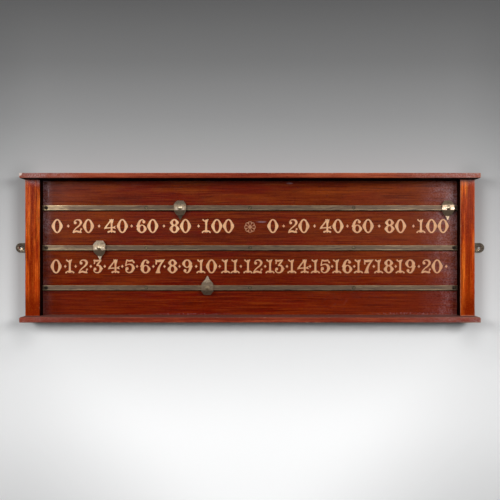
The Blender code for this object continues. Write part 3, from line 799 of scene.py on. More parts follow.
def smooth(shape: bmesh.types.BMesh, name: str, sharp: bool = True) -> Mesh:
    """Turns a shape into a smooth-shaded mesh and frees it.

    Args:
        shape: The shape.
        name: The mesh's name.
        sharp: Whether its sharp edges are kept.

    Returns:
        The mesh.
    """
    mesh = bpy.data.meshes.new(name)
    shape.to_mesh(mesh)
    shape.free()
    mesh.shade_smooth()
    if sharp:
        mesh.set_sharp_from_angle(angle=SHARP_ANGLE)
    return mesh


def refined(node: str, bevel: float, segments: int = 3, recess: Point = (0.0, 0.0)) -> Mesh:
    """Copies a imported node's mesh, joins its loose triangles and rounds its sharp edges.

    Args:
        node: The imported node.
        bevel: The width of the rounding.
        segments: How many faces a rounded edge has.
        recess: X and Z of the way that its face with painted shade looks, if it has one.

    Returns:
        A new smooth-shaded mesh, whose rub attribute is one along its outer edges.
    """
    shape = bmesh.new()
    shape.from_mesh(frame["nodes"][node].data)
    bmesh.ops.remove_doubles(shape, verts=shape.verts, dist=MERGE)
    bmesh.ops.dissolve_limit(shape, angle_limit=FLAT_ANGLE, verts=shape.verts, edges=shape.edges)
    sharp = [e for e in shape.edges if len(e.link_faces) == 2 and e.calc_face_angle_signed() > SHARP_ANGLE]
    result = bmesh.ops.bevel(
        shape, geom=sharp, offset=bevel, offset_type="OFFSET", segments=segments, profile=0.5,
        affect="EDGES", clamp_overlap=True,
    )
    rounded = set(result["faces"])
    rubbed = [1.0 if all(f in rounded for f in v.link_faces) else 0.0 for v in shape.verts]
    shape.normal_update()
    # Painted shade: how far each vertex faces the given way, for the finish to darken.
    hidden = [max(0.0, v.normal.x * recess[0] + v.normal.z * recess[1]) for v in shape.verts]
    mesh = smooth(shape, node)
    store(mesh, RUB, "FLOAT", rubbed)
    store(mesh, SHADE_AND_DARKENING, "FLOAT", hidden)
    return weighted(mesh)


def weighted(mesh: Mesh) -> Mesh:
    """Lets the large faces of a smooth mesh keep their own normals, so that they shade flat.

    Args:
        mesh: The mesh, which is removed.

    Returns:
        A new mesh with fixed normals.
    """
    carrier = shown(mesh.name + "_carrier", mesh)
    modifier = carrier.modifiers.new("normals", "WEIGHTED_NORMAL")
    modifier.keep_sharp = True
    modifier.weight = LARGE_FACES_RULE
    finished = plain_mesh(carrier)
    bpy.data.meshes.remove(mesh)
    return finished


def turned(profile: Outline, sides: int) -> bmesh.types.BMesh:
    """Turns a profile round the Z axis into a closed solid.

    Args:
        profile: Radius and height of each point, from the bottom up; both end points lie on the axis.
        sides: How many faces go round.

    Returns:
        The shape, which the caller frees.
    """
    shape = bmesh.new()
    rings: list[list[bmesh.types.BMVert]] = []
    for radius, height in profile:
        angles = [2 * math.pi * side / sides for side in range(sides if radius else 1)]
        rings.append([shape.verts.new((radius * math.cos(a), radius * math.sin(a), height)) for a in angles])
    for lower, upper in zip(rings, rings[1:]):
        for side in range(sides):
            other = (side + 1) % sides
            corners = [lower[side % len(lower)], lower[other % len(lower)]]
            corners += [upper[other % len(upper)], upper[side % len(upper)]]
            shape.faces.new(list(dict.fromkeys(corners)))
    bmesh.ops.recalc_face_normals(shape, faces=shape.faces)
    return shape


@dataclass(frozen=True)
class Oval:
    """A round outline, drawn out to points at its sides where it has spurs."""

    centre: Point
    half_width: float
    half_height: float
    spur: float = 0.0
    steps: int = 44
    spur_power: int = 12

    def outlines(self) -> list[Outline]:
        """Gives its one outline.

        Returns:
            A list with the outline.
        """
        outline = []
        for step in range(self.steps):
            angle = 2 * math.pi * step / self.steps
            side = math.cos(angle)
            reach = self.half_width * side + math.copysign(self.spur * abs(side) ** self.spur_power, side)
            outline.append((self.centre[0] + reach, self.centre[1] + self.half_height * math.sin(angle)))
        return [outline]


@dataclass(frozen=True)
class Stroke:
    """A brush stroke along a smooth line, with a width at each of its points."""

    points: tuple[Point, ...]
    widths: tuple[float, ...]
    weight: float = 0.84
    thinnest: float = 0.002
    steps: int = 5
    half_sides: int = 7

    def outlines(self) -> list[Outline]:
        """Gives the outlines of the round-ended pieces that overlap along the line."""
        line = self.smooth()
        return [self.capsule(first, second) for first, second in zip(line, line[1:])]

    def smooth(self) -> list[tuple[float, float, float]]:
        """Runs a smooth curve through the points and widths.

        Returns:
            X, Y and width at each step.
        """
        keys = [Vector((*point, width)) for point, width in zip(self.points, self.widths)]
        keys = [2 * keys[0] - keys[1], *keys, 2 * keys[-1] - keys[-2]]
        line = []
        for before, start, end, after in zip(keys, keys[1:], keys[2:], keys[3:]):
            for step in range(self.steps):
                t = step / self.steps
                bend = 2 * start + (end - before) * t
                bend += (2 * before - 5 * start + 4 * end - after) * t * t
                bend += (3 * start - before - 3 * end + after) * t * t * t
                line.append(tuple(bend / 2))
        line.append(tuple(keys[-2]))
        return line

    def capsule(self, first: tuple[float, float, float], second: tuple[float, float, float]) -> Outline:
        """Wraps two round brush marks in one outline.

        Args:
            first: X, Y and width of the first mark.
            second: X, Y and width of the second mark.

        Returns:
            The outline.
        """
        heading = math.atan2(second[1] - first[1], second[0] - first[0])
        outline = []
        for mark, start in ((second, heading - QUARTER), (first, heading + QUARTER)):
            radius = max(mark[2] * self.weight, self.thinnest) / 2
            for step in range(self.half_sides + 1):
                angle = start + math.pi * step / self.half_sides
                outline.append((mark[0] + radius * math.cos(angle), mark[1] + radius * math.sin(angle)))
        return outline


@dataclass(frozen=True)
class Patch:
    """A filled outline with straight sides."""

    corners: tuple[Point, ...]

    def outlines(self) -> list[Outline]:
        """Gives its one outline."""
        return [list(self.corners)]


Mark = Oval | Stroke | Patch


@dataclass(frozen=True)
class Glyph:
    """A painted figure, in shares of the numerals' height: X from its middle, Y from its foot."""

    painted: tuple[Mark, ...]
    bare: tuple[Mark, ...] = ()

    def turned_round(self) -> Glyph:
        """Gives the same figure upside down."""
        return Glyph(tuple(map(upside_down, self.painted)), tuple(map(upside_down, self.bare)))

    def mesh(self, name: str) -> Mesh:
        """Fills the figure as a flat mesh that faces +Z.

        Args:
            name: The mesh's name.

        Returns:
            The mesh, still in shares of the height.
        """
        painted = [outline for mark in self.painted for outline in mark.outlines()]
        bare = [outline for mark in self.bare for outline in mark.outlines()]
        points: list[Vector] = []
        loops: list[list[int]] = []
        for outline in painted + bare:
            loops.append(list(range(len(points), len(points) + len(outline))))
            points += [Vector(point) for point in anticlockwise(outline)]
        corners, _, faces, _, _, origins = delaunay_2d_cdt(points, [], loops, CONVEX_HULL, MERGE)
        kept = [f for f, o in zip(faces, origins) if o and max(o) < len(painted)]
        flat = bpy.data.meshes.new(name)
        flat.from_pydata([(x, y, 0.0) for x, y in corners], [], kept)
        shape = bmesh.new()
        shape.from_mesh(flat)
        loose = [v for v in shape.verts if not v.link_faces]
        bmesh.ops.delete(shape, geom=loose, context="VERTS")
        bmesh.ops.dissolve_limit(shape, angle_limit=STRAIGHT_ANGLE, verts=shape.verts, edges=shape.edges)
        bmesh.ops.recalc_face_normals(shape, faces=shape.faces)
        for face in shape.faces:
            if face.normal.z < 0:
                face.normal_flip()
        shape.to_mesh(flat)
        shape.free()
        return flat


def anticlockwise(outline: Outline) -> Outline:
    """Gives an outline, or its reverse, so that it runs against the clock."""
    area = sum(x * v - u * y for (x, y), (u, v) in zip(outline, outline[1:] + outline[:1]))
    return outline if area > 0 else outline[::-1]


def upside_down(mark: Mark) -> Mark:
    """Turns a mark half round the middle of its figure.

    Args:
        mark: The mark.

    Returns:
        The turned mark.
    """
    if isinstance(mark, Oval):
        centre = (-mark.centre[0], 1.0 - mark.centre[1])
        return Oval(centre, mark.half_width, mark.half_height, mark.spur, mark.steps)
    if isinstance(mark, Stroke):
        return Stroke(tuple((-x, 1.0 - y) for x, y in mark.points), mark.widths)
    return Patch(tuple((-x, 1.0 - y) for x, y in mark.corners))


def shares(points: Iterable[Point]) -> tuple[Point, ...]:
    """Turns points in hundredths of the numerals' height into shares of it."""
    return tuple((x / 100, y / 100) for x, y in points)


def oval(x: float, y: float, half_width: float, half_height: float, spur: float = 0.0) -> Oval:
    """Gives an oval from hundredths of the numerals' height."""
    return Oval((x / 100, y / 100), half_width / 100, half_height / 100, spur / 100)


def ball(x: float, y: float, radius: float) -> Oval:
    """Gives the round end of a stroke from hundredths of the numerals' height."""
    return Oval((x / 100, y / 100), radius / 100, radius / 100, steps=18)


def stroke(widths: Iterable[float], *points: Point) -> Stroke:
    """Gives a stroke from hundredths of the numerals' height."""
    return Stroke(shares(points), tuple(width / 100 for width in widths))


def patch(*corners: Point) -> Patch:
    """Gives a patch from hundredths of the numerals' height."""
    return Patch(shares(corners))


SIX = Glyph(
    painted=(
        oval(0, 30, 31, 30, 4.5),
        stroke((22, 23, 15, 9, 10), (-21, 34), (-23.5, 60), (-12, 87), (3, 95.5), (15, 88)),
        ball(15.5, 80, 10.5),
        patch((-28, 66), (-40, 50), (-28, 34)),
    ),
    bare=(oval(1, 31.5, 14, 22.5),),
)

NUMERALS = {
    "0": Glyph((oval(0, 50, 31.5, 50, 8.5),), (oval(0, 50, 16.5, 41),)),
    "1": Glyph(
        (
            stroke((20, 17, 15, 17, 22), (0, 88), (0, 72), (0, 50), (0, 26), (0, 13)),
            stroke((13, 10, 12.5), (-1, 84), (-12, 86), (-22, 94.5)),
            patch((-6, 78), (-1, 90), (11, 100), (17, 98.5), (8, 76)),
            stroke((13, 10, 11, 10, 13), (-27, 5.5), (-17, 13.5), (0, 15), (17, 13.5), (27, 5.5)),
            patch((-13, 13), (-10, 1.5), (-6, 12)),
            patch((-3.5, 12), (0, 0), (3.5, 12)),
            patch((6, 12), (10, 1.5), (13, 13)),
        ),
    ),
    "2": Glyph(
        (
            ball(-17, 73, 10),
            stroke(
                (7, 7.5, 9, 17, 19, 13, 10, 10, 12), (-25, 78), (-16, 91), (0, 95.5), (17, 89), (23.5, 74),
                (12, 54), (-10, 36), (-25, 19), (-31, 5),
            ),
            patch((18, 88), (33.5, 74.5), (18, 60)),
            stroke((12, 15, 15, 11), (-27, 6), (-10, 13), (10, 8.5), (24, 5.5)),
            ball(25.5, 28, 6.8),
            stroke((6, 7, 10), (25.5, 28), (20, 18), (22, 8)),
        ),
    ),
    "3": Glyph(
        (
            stroke((14, 15, 13, 8), (-25, 93), (-10, 90), (5, 92), (24, 95)),
            stroke((12, 10, 11), (-24, 93), (-22, 82), (-24, 71)),
            stroke((10, 13, 12), (22, 93), (9, 76), (-5, 59)),
            stroke(
                (9, 13, 20, 21, 12, 8.5, 8.5, 9), (-6, 56), (9, 56.5), (21, 43), (21, 24),
                (8, 8), (-10, 5), (-24, 13), (-27, 25),
            ),
            ball(-19, 31, 10),
            patch((22, 48), (38.5, 33.5), (22, 18)),
        ),
    ),
    "4": Glyph(
        (
            stroke((24, 15, 16), (11, 90), (11, 60), (11, 10)),
            patch((-4, 100), (11, 93), (27, 100), (20, 72), (-2, 80)),
            stroke((11, 11, 12), (5, 90), (-18, 60), (-36, 37)),
            patch((-26, 50), (-45, 28), (-20, 33)),
            stroke((10, 9, 9), (-34, 36), (2, 38), (32, 39)),
            patch((20, 43), (43, 54), (33, 40), (44, 29), (20, 35)),
            stroke((15, 10, 15), (-12, 8), (11, 15), (33, 8)),
            patch((4, 14), (11, 0), (18, 14)),
        ),
    ),
    "5": Glyph(
        (
            stroke((14, 14, 14, 13), (-20, 93), (-8, 90), (6, 91), (16, 93)),
            stroke((12, 11, 15), (15, 94), (22, 86), (27, 79)),
            stroke((9, 9, 11), (-24, 95), (-28, 76), (-31, 57)),
            stroke(
                (8, 8, 11, 19, 23, 16, 9, 9, 9), (-31, 57), (-15, 64), (2, 65), (18, 54), (22, 35),
                (12, 14), (-8, 5), (-26, 14), (-30, 28),
            ),
            ball(-22, 34, 11.5),
            patch((24, 54), (35.5, 37), (24, 20)),
        ),
    ),
    "6": SIX,
    "7": Glyph(
        (
            patch((-36, 100), (-20, 95.5), (0, 98.5), (20, 97.5), (37, 100), (22, 83), (-24, 80)),
            stroke((13, 11, 12), (-25, 92), (-27, 80), (-27, 68)),
            patch((-14, 86), (-4, 80), (8, 86)),
            stroke((12, 14, 20, 28), (24, 91), (5, 64), (-8, 38), (-14, 12)),
            patch((-28, 14), (-31, 0), (-20, 3), (-14, 9), (-8, 3), (3, 0), (0, 14)),
        ),
    ),
    "8": Glyph(
        (oval(0, 74.3, 25.5, 25.7, 6.5), oval(0, 30, 29, 30, 7)),
        (oval(0, 75.5, 10.5, 15.5), oval(0, 30.5, 13, 20)),
    ),
    "9": SIX.turned_round(),
    "dot": Glyph(
        (patch((0, 62), (-4.5, 55), (-10, 50), (-4.5, 45), (0, 38), (4.5, 45), (10, 50), (4.5, 55)),),
    ),
}


class GeometryGraph(Graph):
    """A Geometry Nodes tree with named inputs, which ends in Realize Instances and Set Material."""

    SOCKETS = {float: "NodeSocketFloat", int: "NodeSocketInt", bpy.types.Collection: "NodeSocketCollection"}
    SOCKETS |= {Material: "NodeSocketMaterial", Piece: "NodeSocketObject"}

    def __init__(self, name: str, values: Mapping[str, Any]) -> None:
        """Makes the tree with one geometry input and the named ones.

        Args:
            name: The tree's name.
            values: The value of each named input.
        """
        super().__init__(bpy.data.node_groups.new(name, "GeometryNodeTree"))
        self.values = dict(values)
        for way in ("INPUT", "OUTPUT"):
            self.tree.interface.new_socket("Geometry", in_out=way, socket_type="NodeSocketGeometry")
        for label, value in self.values.items():
            kind = next(socket for cls, socket in self.SOCKETS.items() if isinstance(value, cls))
            self.tree.interface.new_socket(label, in_out="INPUT", socket_type=kind)
        self.inputs = self.add("NodeGroupInput").outputs

    def field(self, name: str, kind: str) -> Socket:
        """Reads a named attribute."""
        return self.add("GeometryNodeInputNamedAttribute", {"Name": name}, data_type=kind).outputs[0]

    def random(self, low: Any, high: Any) -> Socket:
        """Gives each point a random number, from the tree's fixed seed."""
        inputs = {2: low, 3: high, "Seed": self.inputs["Seed"]}
        return self.add("FunctionNodeRandomValue", inputs, data_type="FLOAT").outputs[1]

    def circle(self, points: Any, radius: Any) -> Socket:
        """Draws a circle of so many points."""
        inputs = {"Resolution": points, "Radius": radius}
        return self.add("GeometryNodeCurvePrimitiveCircle", inputs).outputs[0]

    def set_on(self, points: Socket, instance: Socket, **inputs: Any) -> Socket:
        """Sets an instance on each point, with further inputs named with low lines for spaces."""
        named = {label.replace("_", " "): value for label, value in inputs.items()}
        named |= {"Points": points, "Instance": instance}
        return self.add("GeometryNodeInstanceOnPoints", named).outputs[0]

    def realized(self, geometry: Socket) -> Socket:
        """Turns instances into real geometry."""
        return self.add("GeometryNodeRealizeInstances", {0: geometry}).outputs[0]

    def joined(self, *parts: Socket) -> Socket:
        """Joins geometries.

        Args:
            *parts: The geometries.

        Returns:
            All of them as one.
        """
        node = self.add("GeometryNodeJoinGeometry")
        for part in parts:
            self.tree.links.new(part, node.inputs[0])
        return node.outputs[0]

    def raised(self, flat: Socket) -> Socket:
        """Gives flat faces the input Paint thickness along their normals, as one closed skin.

        Args:
            flat: The flat faces.

        Returns:
            The thickened geometry.
        """
        inputs = {"Mesh": flat, "Offset Scale": self.inputs["Paint thickness"], "Individual": False}
        top = self.add("GeometryNodeExtrudeMesh", inputs).outputs[0]
        both = self.joined(top, self.add("GeometryNodeFlipFaces", {0: flat}).outputs[0])
        return self.add("GeometryNodeMergeByDistance", {"Geometry": both, "Distance": MERGE}).outputs[0]

    def close(self, geometry: Socket) -> GeometryGraph:
        """Ends the tree.

        Args:
            geometry: The last geometry.

        Returns:
            The tree itself.
        """
        inputs = {"Geometry": self.realized(geometry), "Material": self.inputs["Finish"]}
        self.add("NodeGroupOutput", {0: self.add("GeometryNodeSetMaterial", inputs).outputs[0]})
        return self

    def apply(self, name: str, points: Mesh) -> Piece:
        """Runs the tree on a mesh and keeps what it makes as a plain mesh.

        Args:
            name: The name of the piece.
            points: The mesh that goes in.

        Returns:
            The piece, without a modifier.
        """
        carrier = shown(name + "_carrier", points)
        modifier = carrier.modifiers.new(name, "NODES")
        modifier.node_group = self.tree
        for item in self.tree.interface.items_tree:
            if item.in_out == "INPUT" and item.name in self.values:
                modifier[item.identifier] = self.values[item.name]
        mesh = plain_mesh(carrier)
        mesh.name = name
        return shown(name, mesh)


@dataclass(frozen=True)
class NumeralRow:
    """One painted row: its foot's height over the board's middle, and its labels and dots by place in mm."""

    foot: float
    labels: tuple[tuple[str, float], ...]
    dots: tuple[float, ...]


@dataclass
class Lettering:
    """The painted numerals, their dots and the rosette."""

    height: float = 0.0286
    thickness: float = 0.00016
    tilt: float = 0.006
    tilt_seed: int = 5
    letter_gap: float = 0.0010
    rosette_radius: float = 0.0117
    rosette_height: float = 0.0425
    petals: int = 8
    scallop: float = 0.11
    rim_points_per_petal: float = 12.0
    opening_ring_share: float = 0.60
    opening_length: float = 0.0074
    opening_width: float = 0.0038
    opening_points: int = 16
    upper: NumeralRow = NumeralRow(
        0.0302,
        (
            ("0", -394.6), ("20", -341.1), ("40", -274.5), ("60", -210.3), ("80", -142.8), ("100", -65.7),
            ("0", 46.8), ("20", 99.8), ("40", 166.8), ("60", 230.5), ("80", 297.4), ("100", 373.6),
        ),
        (-372.0, -308.8, -242.3, -176.1, -105.3, 68.9, 132.1, 199.4, 264.4, 334.4),
    )
    lower: NumeralRow = NumeralRow(
        -0.0523,
        (
            ("0", -396.8), ("1", -368.7), ("2", -341.1), ("3", -310.5), ("4", -278.6), ("5", -245.4),
            ("6", -214.4), ("7", -184.1), ("8", -158.6), ("9", -128.0), ("10", -88.5), ("11", -40.1),
            ("12", 6.2), ("13", 51.4), ("14", 98.9), ("15", 144.5), ("16", 188.8), ("17", 232.9),
            ("18", 274.1), ("19", 318.6), ("20", 372.4),
        ),
        (
            -378.1, -356.9, -325.8, -297.3, -261.4, -231.1, -197.8, -174.9, -144.2, -110.2, -62.0,
            -18.6, 31.1, 75.7, 122.7, 167.9, 213.3, 253.4, 298.2, 345.6, 401.6,
        ),
    )
    front: float = field(init=False)

    def __post_init__(self) -> None:
        """Reads the panel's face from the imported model."""
        self.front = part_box("score_panel")[0].y

    def build(self) -> None:
        """Paints both rows and the rosette."""
        glyphs = bpy.data.collections.new("glyphs")
        widths = {}
        for name, glyph in NUMERALS.items():
            mesh = glyph.mesh(name)
            xs = [v.co.x for v in mesh.vertices]
            widths[name] = (min(xs), max(xs))
            glyphs.objects.link(bpy.data.objects.new("glyph_" + name, mesh))
        tree = self.tree(glyphs, NUMERAL_PAINT.material())
        for name, row in (("upper_numerals", self.upper), ("lower_numerals", self.lower)):
            settle(tree.apply(name, self.points(name, row, widths)), BOARD)
        for item in list(glyphs.objects):
            bpy.data.objects.remove(item)
        settle(self.rosette(ROSETTE_PAINT.material()), BOARD)

    def points(self, name: str, row: NumeralRow, widths: Mapping[str, Point]) -> Mesh:
        """Places one point for each figure of a row.

        Args:
            name: The mesh's name.
            row: The row.
            widths: The left and right reach of each figure, in shares of the height.

        Returns:
            The points, each with the index of its figure.
        """
        order = sorted(NUMERALS)
        places: list[tuple[float, str]] = [(dot / MM_PER_METRE, "dot") for dot in row.dots]
        for label, middle in row.labels:
            spans = [widths[digit] for digit in label]
            gaps = self.letter_gap * (len(label) - 1)
            total = sum(right - left for left, right in spans) * self.height + gaps
            edge = middle / MM_PER_METRE - total / 2
            for digit, (left, right) in zip(label, spans):
                places.append((edge - left * self.height, digit))
                edge += (right - left) * self.height + self.letter_gap
        mesh = bpy.data.meshes.new(name)
        mesh.from_pydata([(x, self.front, row.foot) for x, _ in places], [], [])
        store(mesh, GLYPH, "INT", [order.index(figure) for _, figure in places])
        return mesh

    def tree(self, glyphs: bpy.types.Collection, paint: Material) -> GeometryGraph:
        """Builds the tree that sets a painted figure on each point.

        Args:
            glyphs: The flat figures.
            paint: Their finish.

        Returns:
            The tree.
        """
        values = {"Glyphs": glyphs, "Numeral height": self.height, "Paint thickness": self.thickness}
        values |= {"Tilt": self.tilt, "Seed": self.tilt_seed, "Finish": paint}
        graph = GeometryGraph("painted_figures", values)
        inputs = graph.inputs
        picked = {"Collection": inputs["Glyphs"], "Separate Children": True, "Reset Children": True}
        figures = graph.add("GeometryNodeCollectionInfo", picked).outputs[0]
        lean = graph.random(graph.times(inputs["Tilt"], -1.0), inputs["Tilt"])
        placed = graph.set_on(
            inputs["Geometry"], figures, Pick_Instance=True, Instance_Index=graph.field(GLYPH, "INT"),
            Rotation=graph.combined(QUARTER, lean), Scale=inputs["Numeral height"],
        )
        return graph.close(graph.raised(graph.realized(placed)))

    def rosette(self, paint: Material) -> Piece:
        """Paints the rosette of looped petals that parts the upper row.

        Args:
            paint: Its finish.

        Returns:
            The piece.
        """
        values = {"Petals": self.petals, "Radius": self.rosette_radius, "Scallop": self.scallop}
        ring = self.rosette_radius * self.opening_ring_share
        values |= {"Paint thickness": self.thickness, "Opening ring": ring}
        values |= {"Opening length": self.opening_length, "Opening width": self.opening_width, "Finish": paint}
        graph = GeometryGraph("looped_rosette", values)
        inputs = graph.inputs
        rim = graph.circle(graph.times(inputs["Petals"], self.rim_points_per_petal), inputs["Radius"])
        place = graph.add("GeometryNodeInputPosition").outputs[0]
        x, y, _ = graph.axes(place)
        heading = graph.math("ARCTAN2", y, x)
        wave = graph.size(graph.math("COSINE", graph.times(heading, graph.times(inputs["Petals"], 0.5))))
        share = graph.math("SUBTRACT", 1.0, graph.times(graph.math("SUBTRACT", 1.0, wave), inputs["Scallop"]))
        scaled = graph.add("ShaderNodeVectorMath", {0: place, "Scale": share}, operation="SCALE").outputs[0]
        scalloped = graph.add("GeometryNodeSetPosition", {"Geometry": rim, "Position": scaled}).outputs[0]
        openings = graph.set_on(
            graph.circle(inputs["Petals"], inputs["Opening ring"]), graph.circle(self.opening_points, 0.5),
            Rotation=graph.combined(z=heading),
            Scale=graph.combined(inputs["Opening length"], inputs["Opening width"], 1.0),
        )
        outline = graph.joined(scalloped, graph.realized(openings))
        flat = graph.add("GeometryNodeFillCurve", {0: outline}).outputs[0]
        stance = {"Rotation": Euler(Facing.FRONT.value), "Translation": (0.0, self.front, self.rosette_height)}
        stood = graph.add("GeometryNodeTransform", {"Geometry": graph.raised(flat), **stance}).outputs[0]
        return graph.close(stood).apply("rosette", bpy.data.meshes.new("rosette_carrier"))


@dataclass
class Woodwork:
    """The panel, the two stiles, the two shelves and the rails' packings."""

    edge: float = 0.0007
    fine_edge: float = 0.0003
    rail_shadow_drop: float = 0.0002

    def build(self) -> None:
        """Rounds and varnishes every wooden piece."""
        # Painted shadow lines lie on the panel just under each rail strip.
        rail_shadows = [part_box(f"{rail}_rail_strip")[0].z - self.rail_shadow_drop for rail in RAILS]
        self.piece("score_panel", PANEL_WOOD, self.fine_edge, rail_shadows=rail_shadows)
        # Painted shade: the stiles' inner faces and the top shelf's underside are darkened nearly to black.
        self.piece("left_stile", STILE_WOOD, self.edge, (1.0, 0.0))
        self.piece("right_stile", STILE_WOOD, self.edge, (-1.0, 0.0))
        self.piece("top_shelf", SHELF_WOOD, self.edge, (0.0, -1.0))
        self.piece("bottom_shelf", SHELF_WOOD, self.edge)
        for rail in RAILS:
            self.piece(f"{rail}_rail_packing", PACKING_WOOD, self.fine_edge)

    def piece(
        self, node: str, wood: Mahogany, edge: float, recess: Point = (0.0, 0.0), rail_shadows: Iterable[float] = (),
    ) -> None:
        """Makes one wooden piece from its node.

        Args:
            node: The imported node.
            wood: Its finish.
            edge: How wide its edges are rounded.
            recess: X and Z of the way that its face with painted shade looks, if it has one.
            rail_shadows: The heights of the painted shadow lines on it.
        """
        mesh = refined(node, edge, recess=recess)
        settle(shown(node + "_wood", mesh, wood.material(*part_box(node), rail_shadows)), BOARD, [node])


def numbered(nodes: str, facing: Facing, count: int, owners: Iterable[str]) -> tuple[tuple[str, Facing], ...]:
    """Lists the nodes of so many screws for each of their owners, with the way that they face."""
    return tuple((f"{owner}_{nodes}_{number + 1}", facing) for owner in owners for number in range(count))


@dataclass(frozen=True)
class ScrewKind:
    """One kind of slotted screw: the nodes it replaces, its seed for the slots' turns, and its head's form."""

    name: str
    nodes: tuple[tuple[str, Facing], ...]
    seed: int
    domed: bool = False


@dataclass
class Screws:
    """All the slotted brass screws, one piece for each kind, in shares of the head's width or the length."""

    sides: int = 28
    dome_steps: int = 8
    dome_share: float = 0.66
    shank_share: float = 0.48
    core_share: float = 0.36
    head_share: float = 0.27
    lip_share: float = 0.03
    slot_width_share: float = 0.17
    slot_length_share: float = 1.2
    slot_depth_share: float = 0.14
    thread_end_share: float = 0.42
    shank_end_share: float = 0.38

    def build(self) -> None:
        """Makes every kind."""
        finish, dark = SCREW_BRASS.material(), STOP_BRASS.material()
        above = numbered("shelf_screw", Facing.UP, 4, ("top",))
        below = numbered("shelf_screw", Facing.DOWN, 4, ("bottom",))
        for kind in (
            ScrewKind("rail_screws", numbered("rail_screw", Facing.FRONT, 3, RAILS), 3),
            ScrewKind("rail_stops", numbered("rail_stop", Facing.FRONT, 2, RAILS), 8, domed=True),
            ScrewKind("shelf_screws", above + below, 2),
            ScrewKind("panel_screws", numbered("screw", Facing.BACK, 4, ("panel",)), 4),
            ScrewKind("hanging_plate_screws", numbered("hanging_plate_screw", Facing.BACK, 2, HANDS), 6),
        ):
            self.kind(kind, dark if kind.domed else finish)

    def kind(self, kind: ScrewKind, finish: Material) -> None:
        """Makes all the screws of one kind.

        Args:
            kind: The kind.
            finish: The finish.
        """
        nodes = [node for node, _ in kind.nodes]
        points = []
        for node, facing in kind.nodes:
            low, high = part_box(node)
            out = facing.direction()
            points.append((low + high) / 2 + out * abs((high - low).dot(out)) / 2)
        low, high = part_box(nodes[0])
        head, _, length = sorted(high - low)
        blank = bpy.data.objects.new(kind.name + "_blank", self.blank(kind, head, length))
        values = {"Blank": blank, "Slot length": head * self.slot_length_share}
        values |= {"Slot width": head * self.slot_width_share, "Slot depth": head * self.slot_depth_share}
        mesh = bpy.data.meshes.new(kind.name)
        mesh.from_pydata(points, [], [])
        store(mesh, TURN, "FLOAT_VECTOR", [facing.value for _, facing in kind.nodes])
        piece = self.tree(kind.name, {**values, "Seed": kind.seed, "Finish": finish}).apply(kind.name, mesh)
        bpy.data.objects.remove(blank)
        settle(piece, BOARD, nodes)

    def tree(self, name: str, values: Mapping[str, Any]) -> GeometryGraph:
        """Builds the tree that cuts the slot and sets a screw on each point.

        Args:
            name: The kind's name.
            values: The tree's named inputs.

        Returns:
            The tree.
        """
        graph = GeometryGraph(name, values)
        inputs = graph.inputs
        blank = graph.add("GeometryNodeObjectInfo", {"Object": inputs["Blank"]}).outputs["Geometry"]
        depth = graph.times(inputs["Slot depth"], 2.0)
        size = graph.combined(inputs["Slot length"], inputs["Slot width"], depth)
        cutter = graph.add("GeometryNodeMeshCube", {"Size": size}).outputs[0]
        both = {"Mesh 1": blank, "Mesh 2": cutter}
        slotted = graph.add("GeometryNodeMeshBoolean", both, operation="DIFFERENCE", solver="EXACT").outputs[0]
        placed = graph.set_on(inputs["Geometry"], slotted, Rotation=graph.field(TURN, "FLOAT_VECTOR"))
        spin = {"Rotation": graph.combined(z=graph.random(0.0, math.pi)), "Local Space": True}
        return graph.close(graph.add("GeometryNodeRotateInstances", {"Instances": placed, **spin}).outputs[0])

    def blank(self, kind: ScrewKind, head: float, length: float) -> Mesh:
        """Turns one screw without its slot, with its head's face at the origin and its shank down -Z.

        Args:
            kind: Its kind.
            head: The head's diameter.
            length: The length of the whole screw.

        Returns:
            The mesh.
        """
        radius, core, shank = head / 2, head * self.core_share / 2, head * self.shank_share / 2
        lip, dome = head * self.lip_share, head / 2 * self.dome_share
        top = [(radius - lip, 0.0), (0.0, 0.0)]
        neck = [(shank, -head * self.head_share), (radius, -lip * 2)]
        if kind.domed:
            angles = [QUARTER * step / self.dome_steps for step in range(self.dome_steps, -1, -1)]
            top = [(radius * math.sin(angle), -dome * (1 - math.cos(angle))) for angle in angles]
            neck = [(shank, -dome - lip), (radius - lip, -dome - lip)]
        profile = [(0.0, -length), (core * 0.5, -length + core), (core, -length + core * 3)]
        profile += [(core, -length * self.thread_end_share), (shank, -length * self.shank_end_share)]
        return smooth(turned([*profile, *neck, *top], self.sides), kind.name + "_blank")


@dataclass
class Rails:
    """The three brass strips."""

    edge: float = 0.00025

    def build(self) -> None:
        """Eases the strips' edges and gives them their patina, with painted shadow rings around the screws."""
        ringed = []
        for rail in RAILS:
            for screw in ("screw_1", "screw_2", "screw_3", "stop_1", "stop_2"):
                low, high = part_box(f"{rail}_rail_{screw}")
                middle = (low + high) / 2
                middle.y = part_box(f"{rail}_rail_strip")[0].y
                ringed.append((middle, (high.x - low.x) / 2))
        finish = RAIL_BRASS.material(ringed=ringed)
        for rail in RAILS:
            node = f"{rail}_rail_strip"
            mesh = refined(node, self.edge)
            placed_from(mesh, sum(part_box(node), Vector()) / 2)
            settle(shown(node + "_brass", mesh, finish), BOARD, [node])


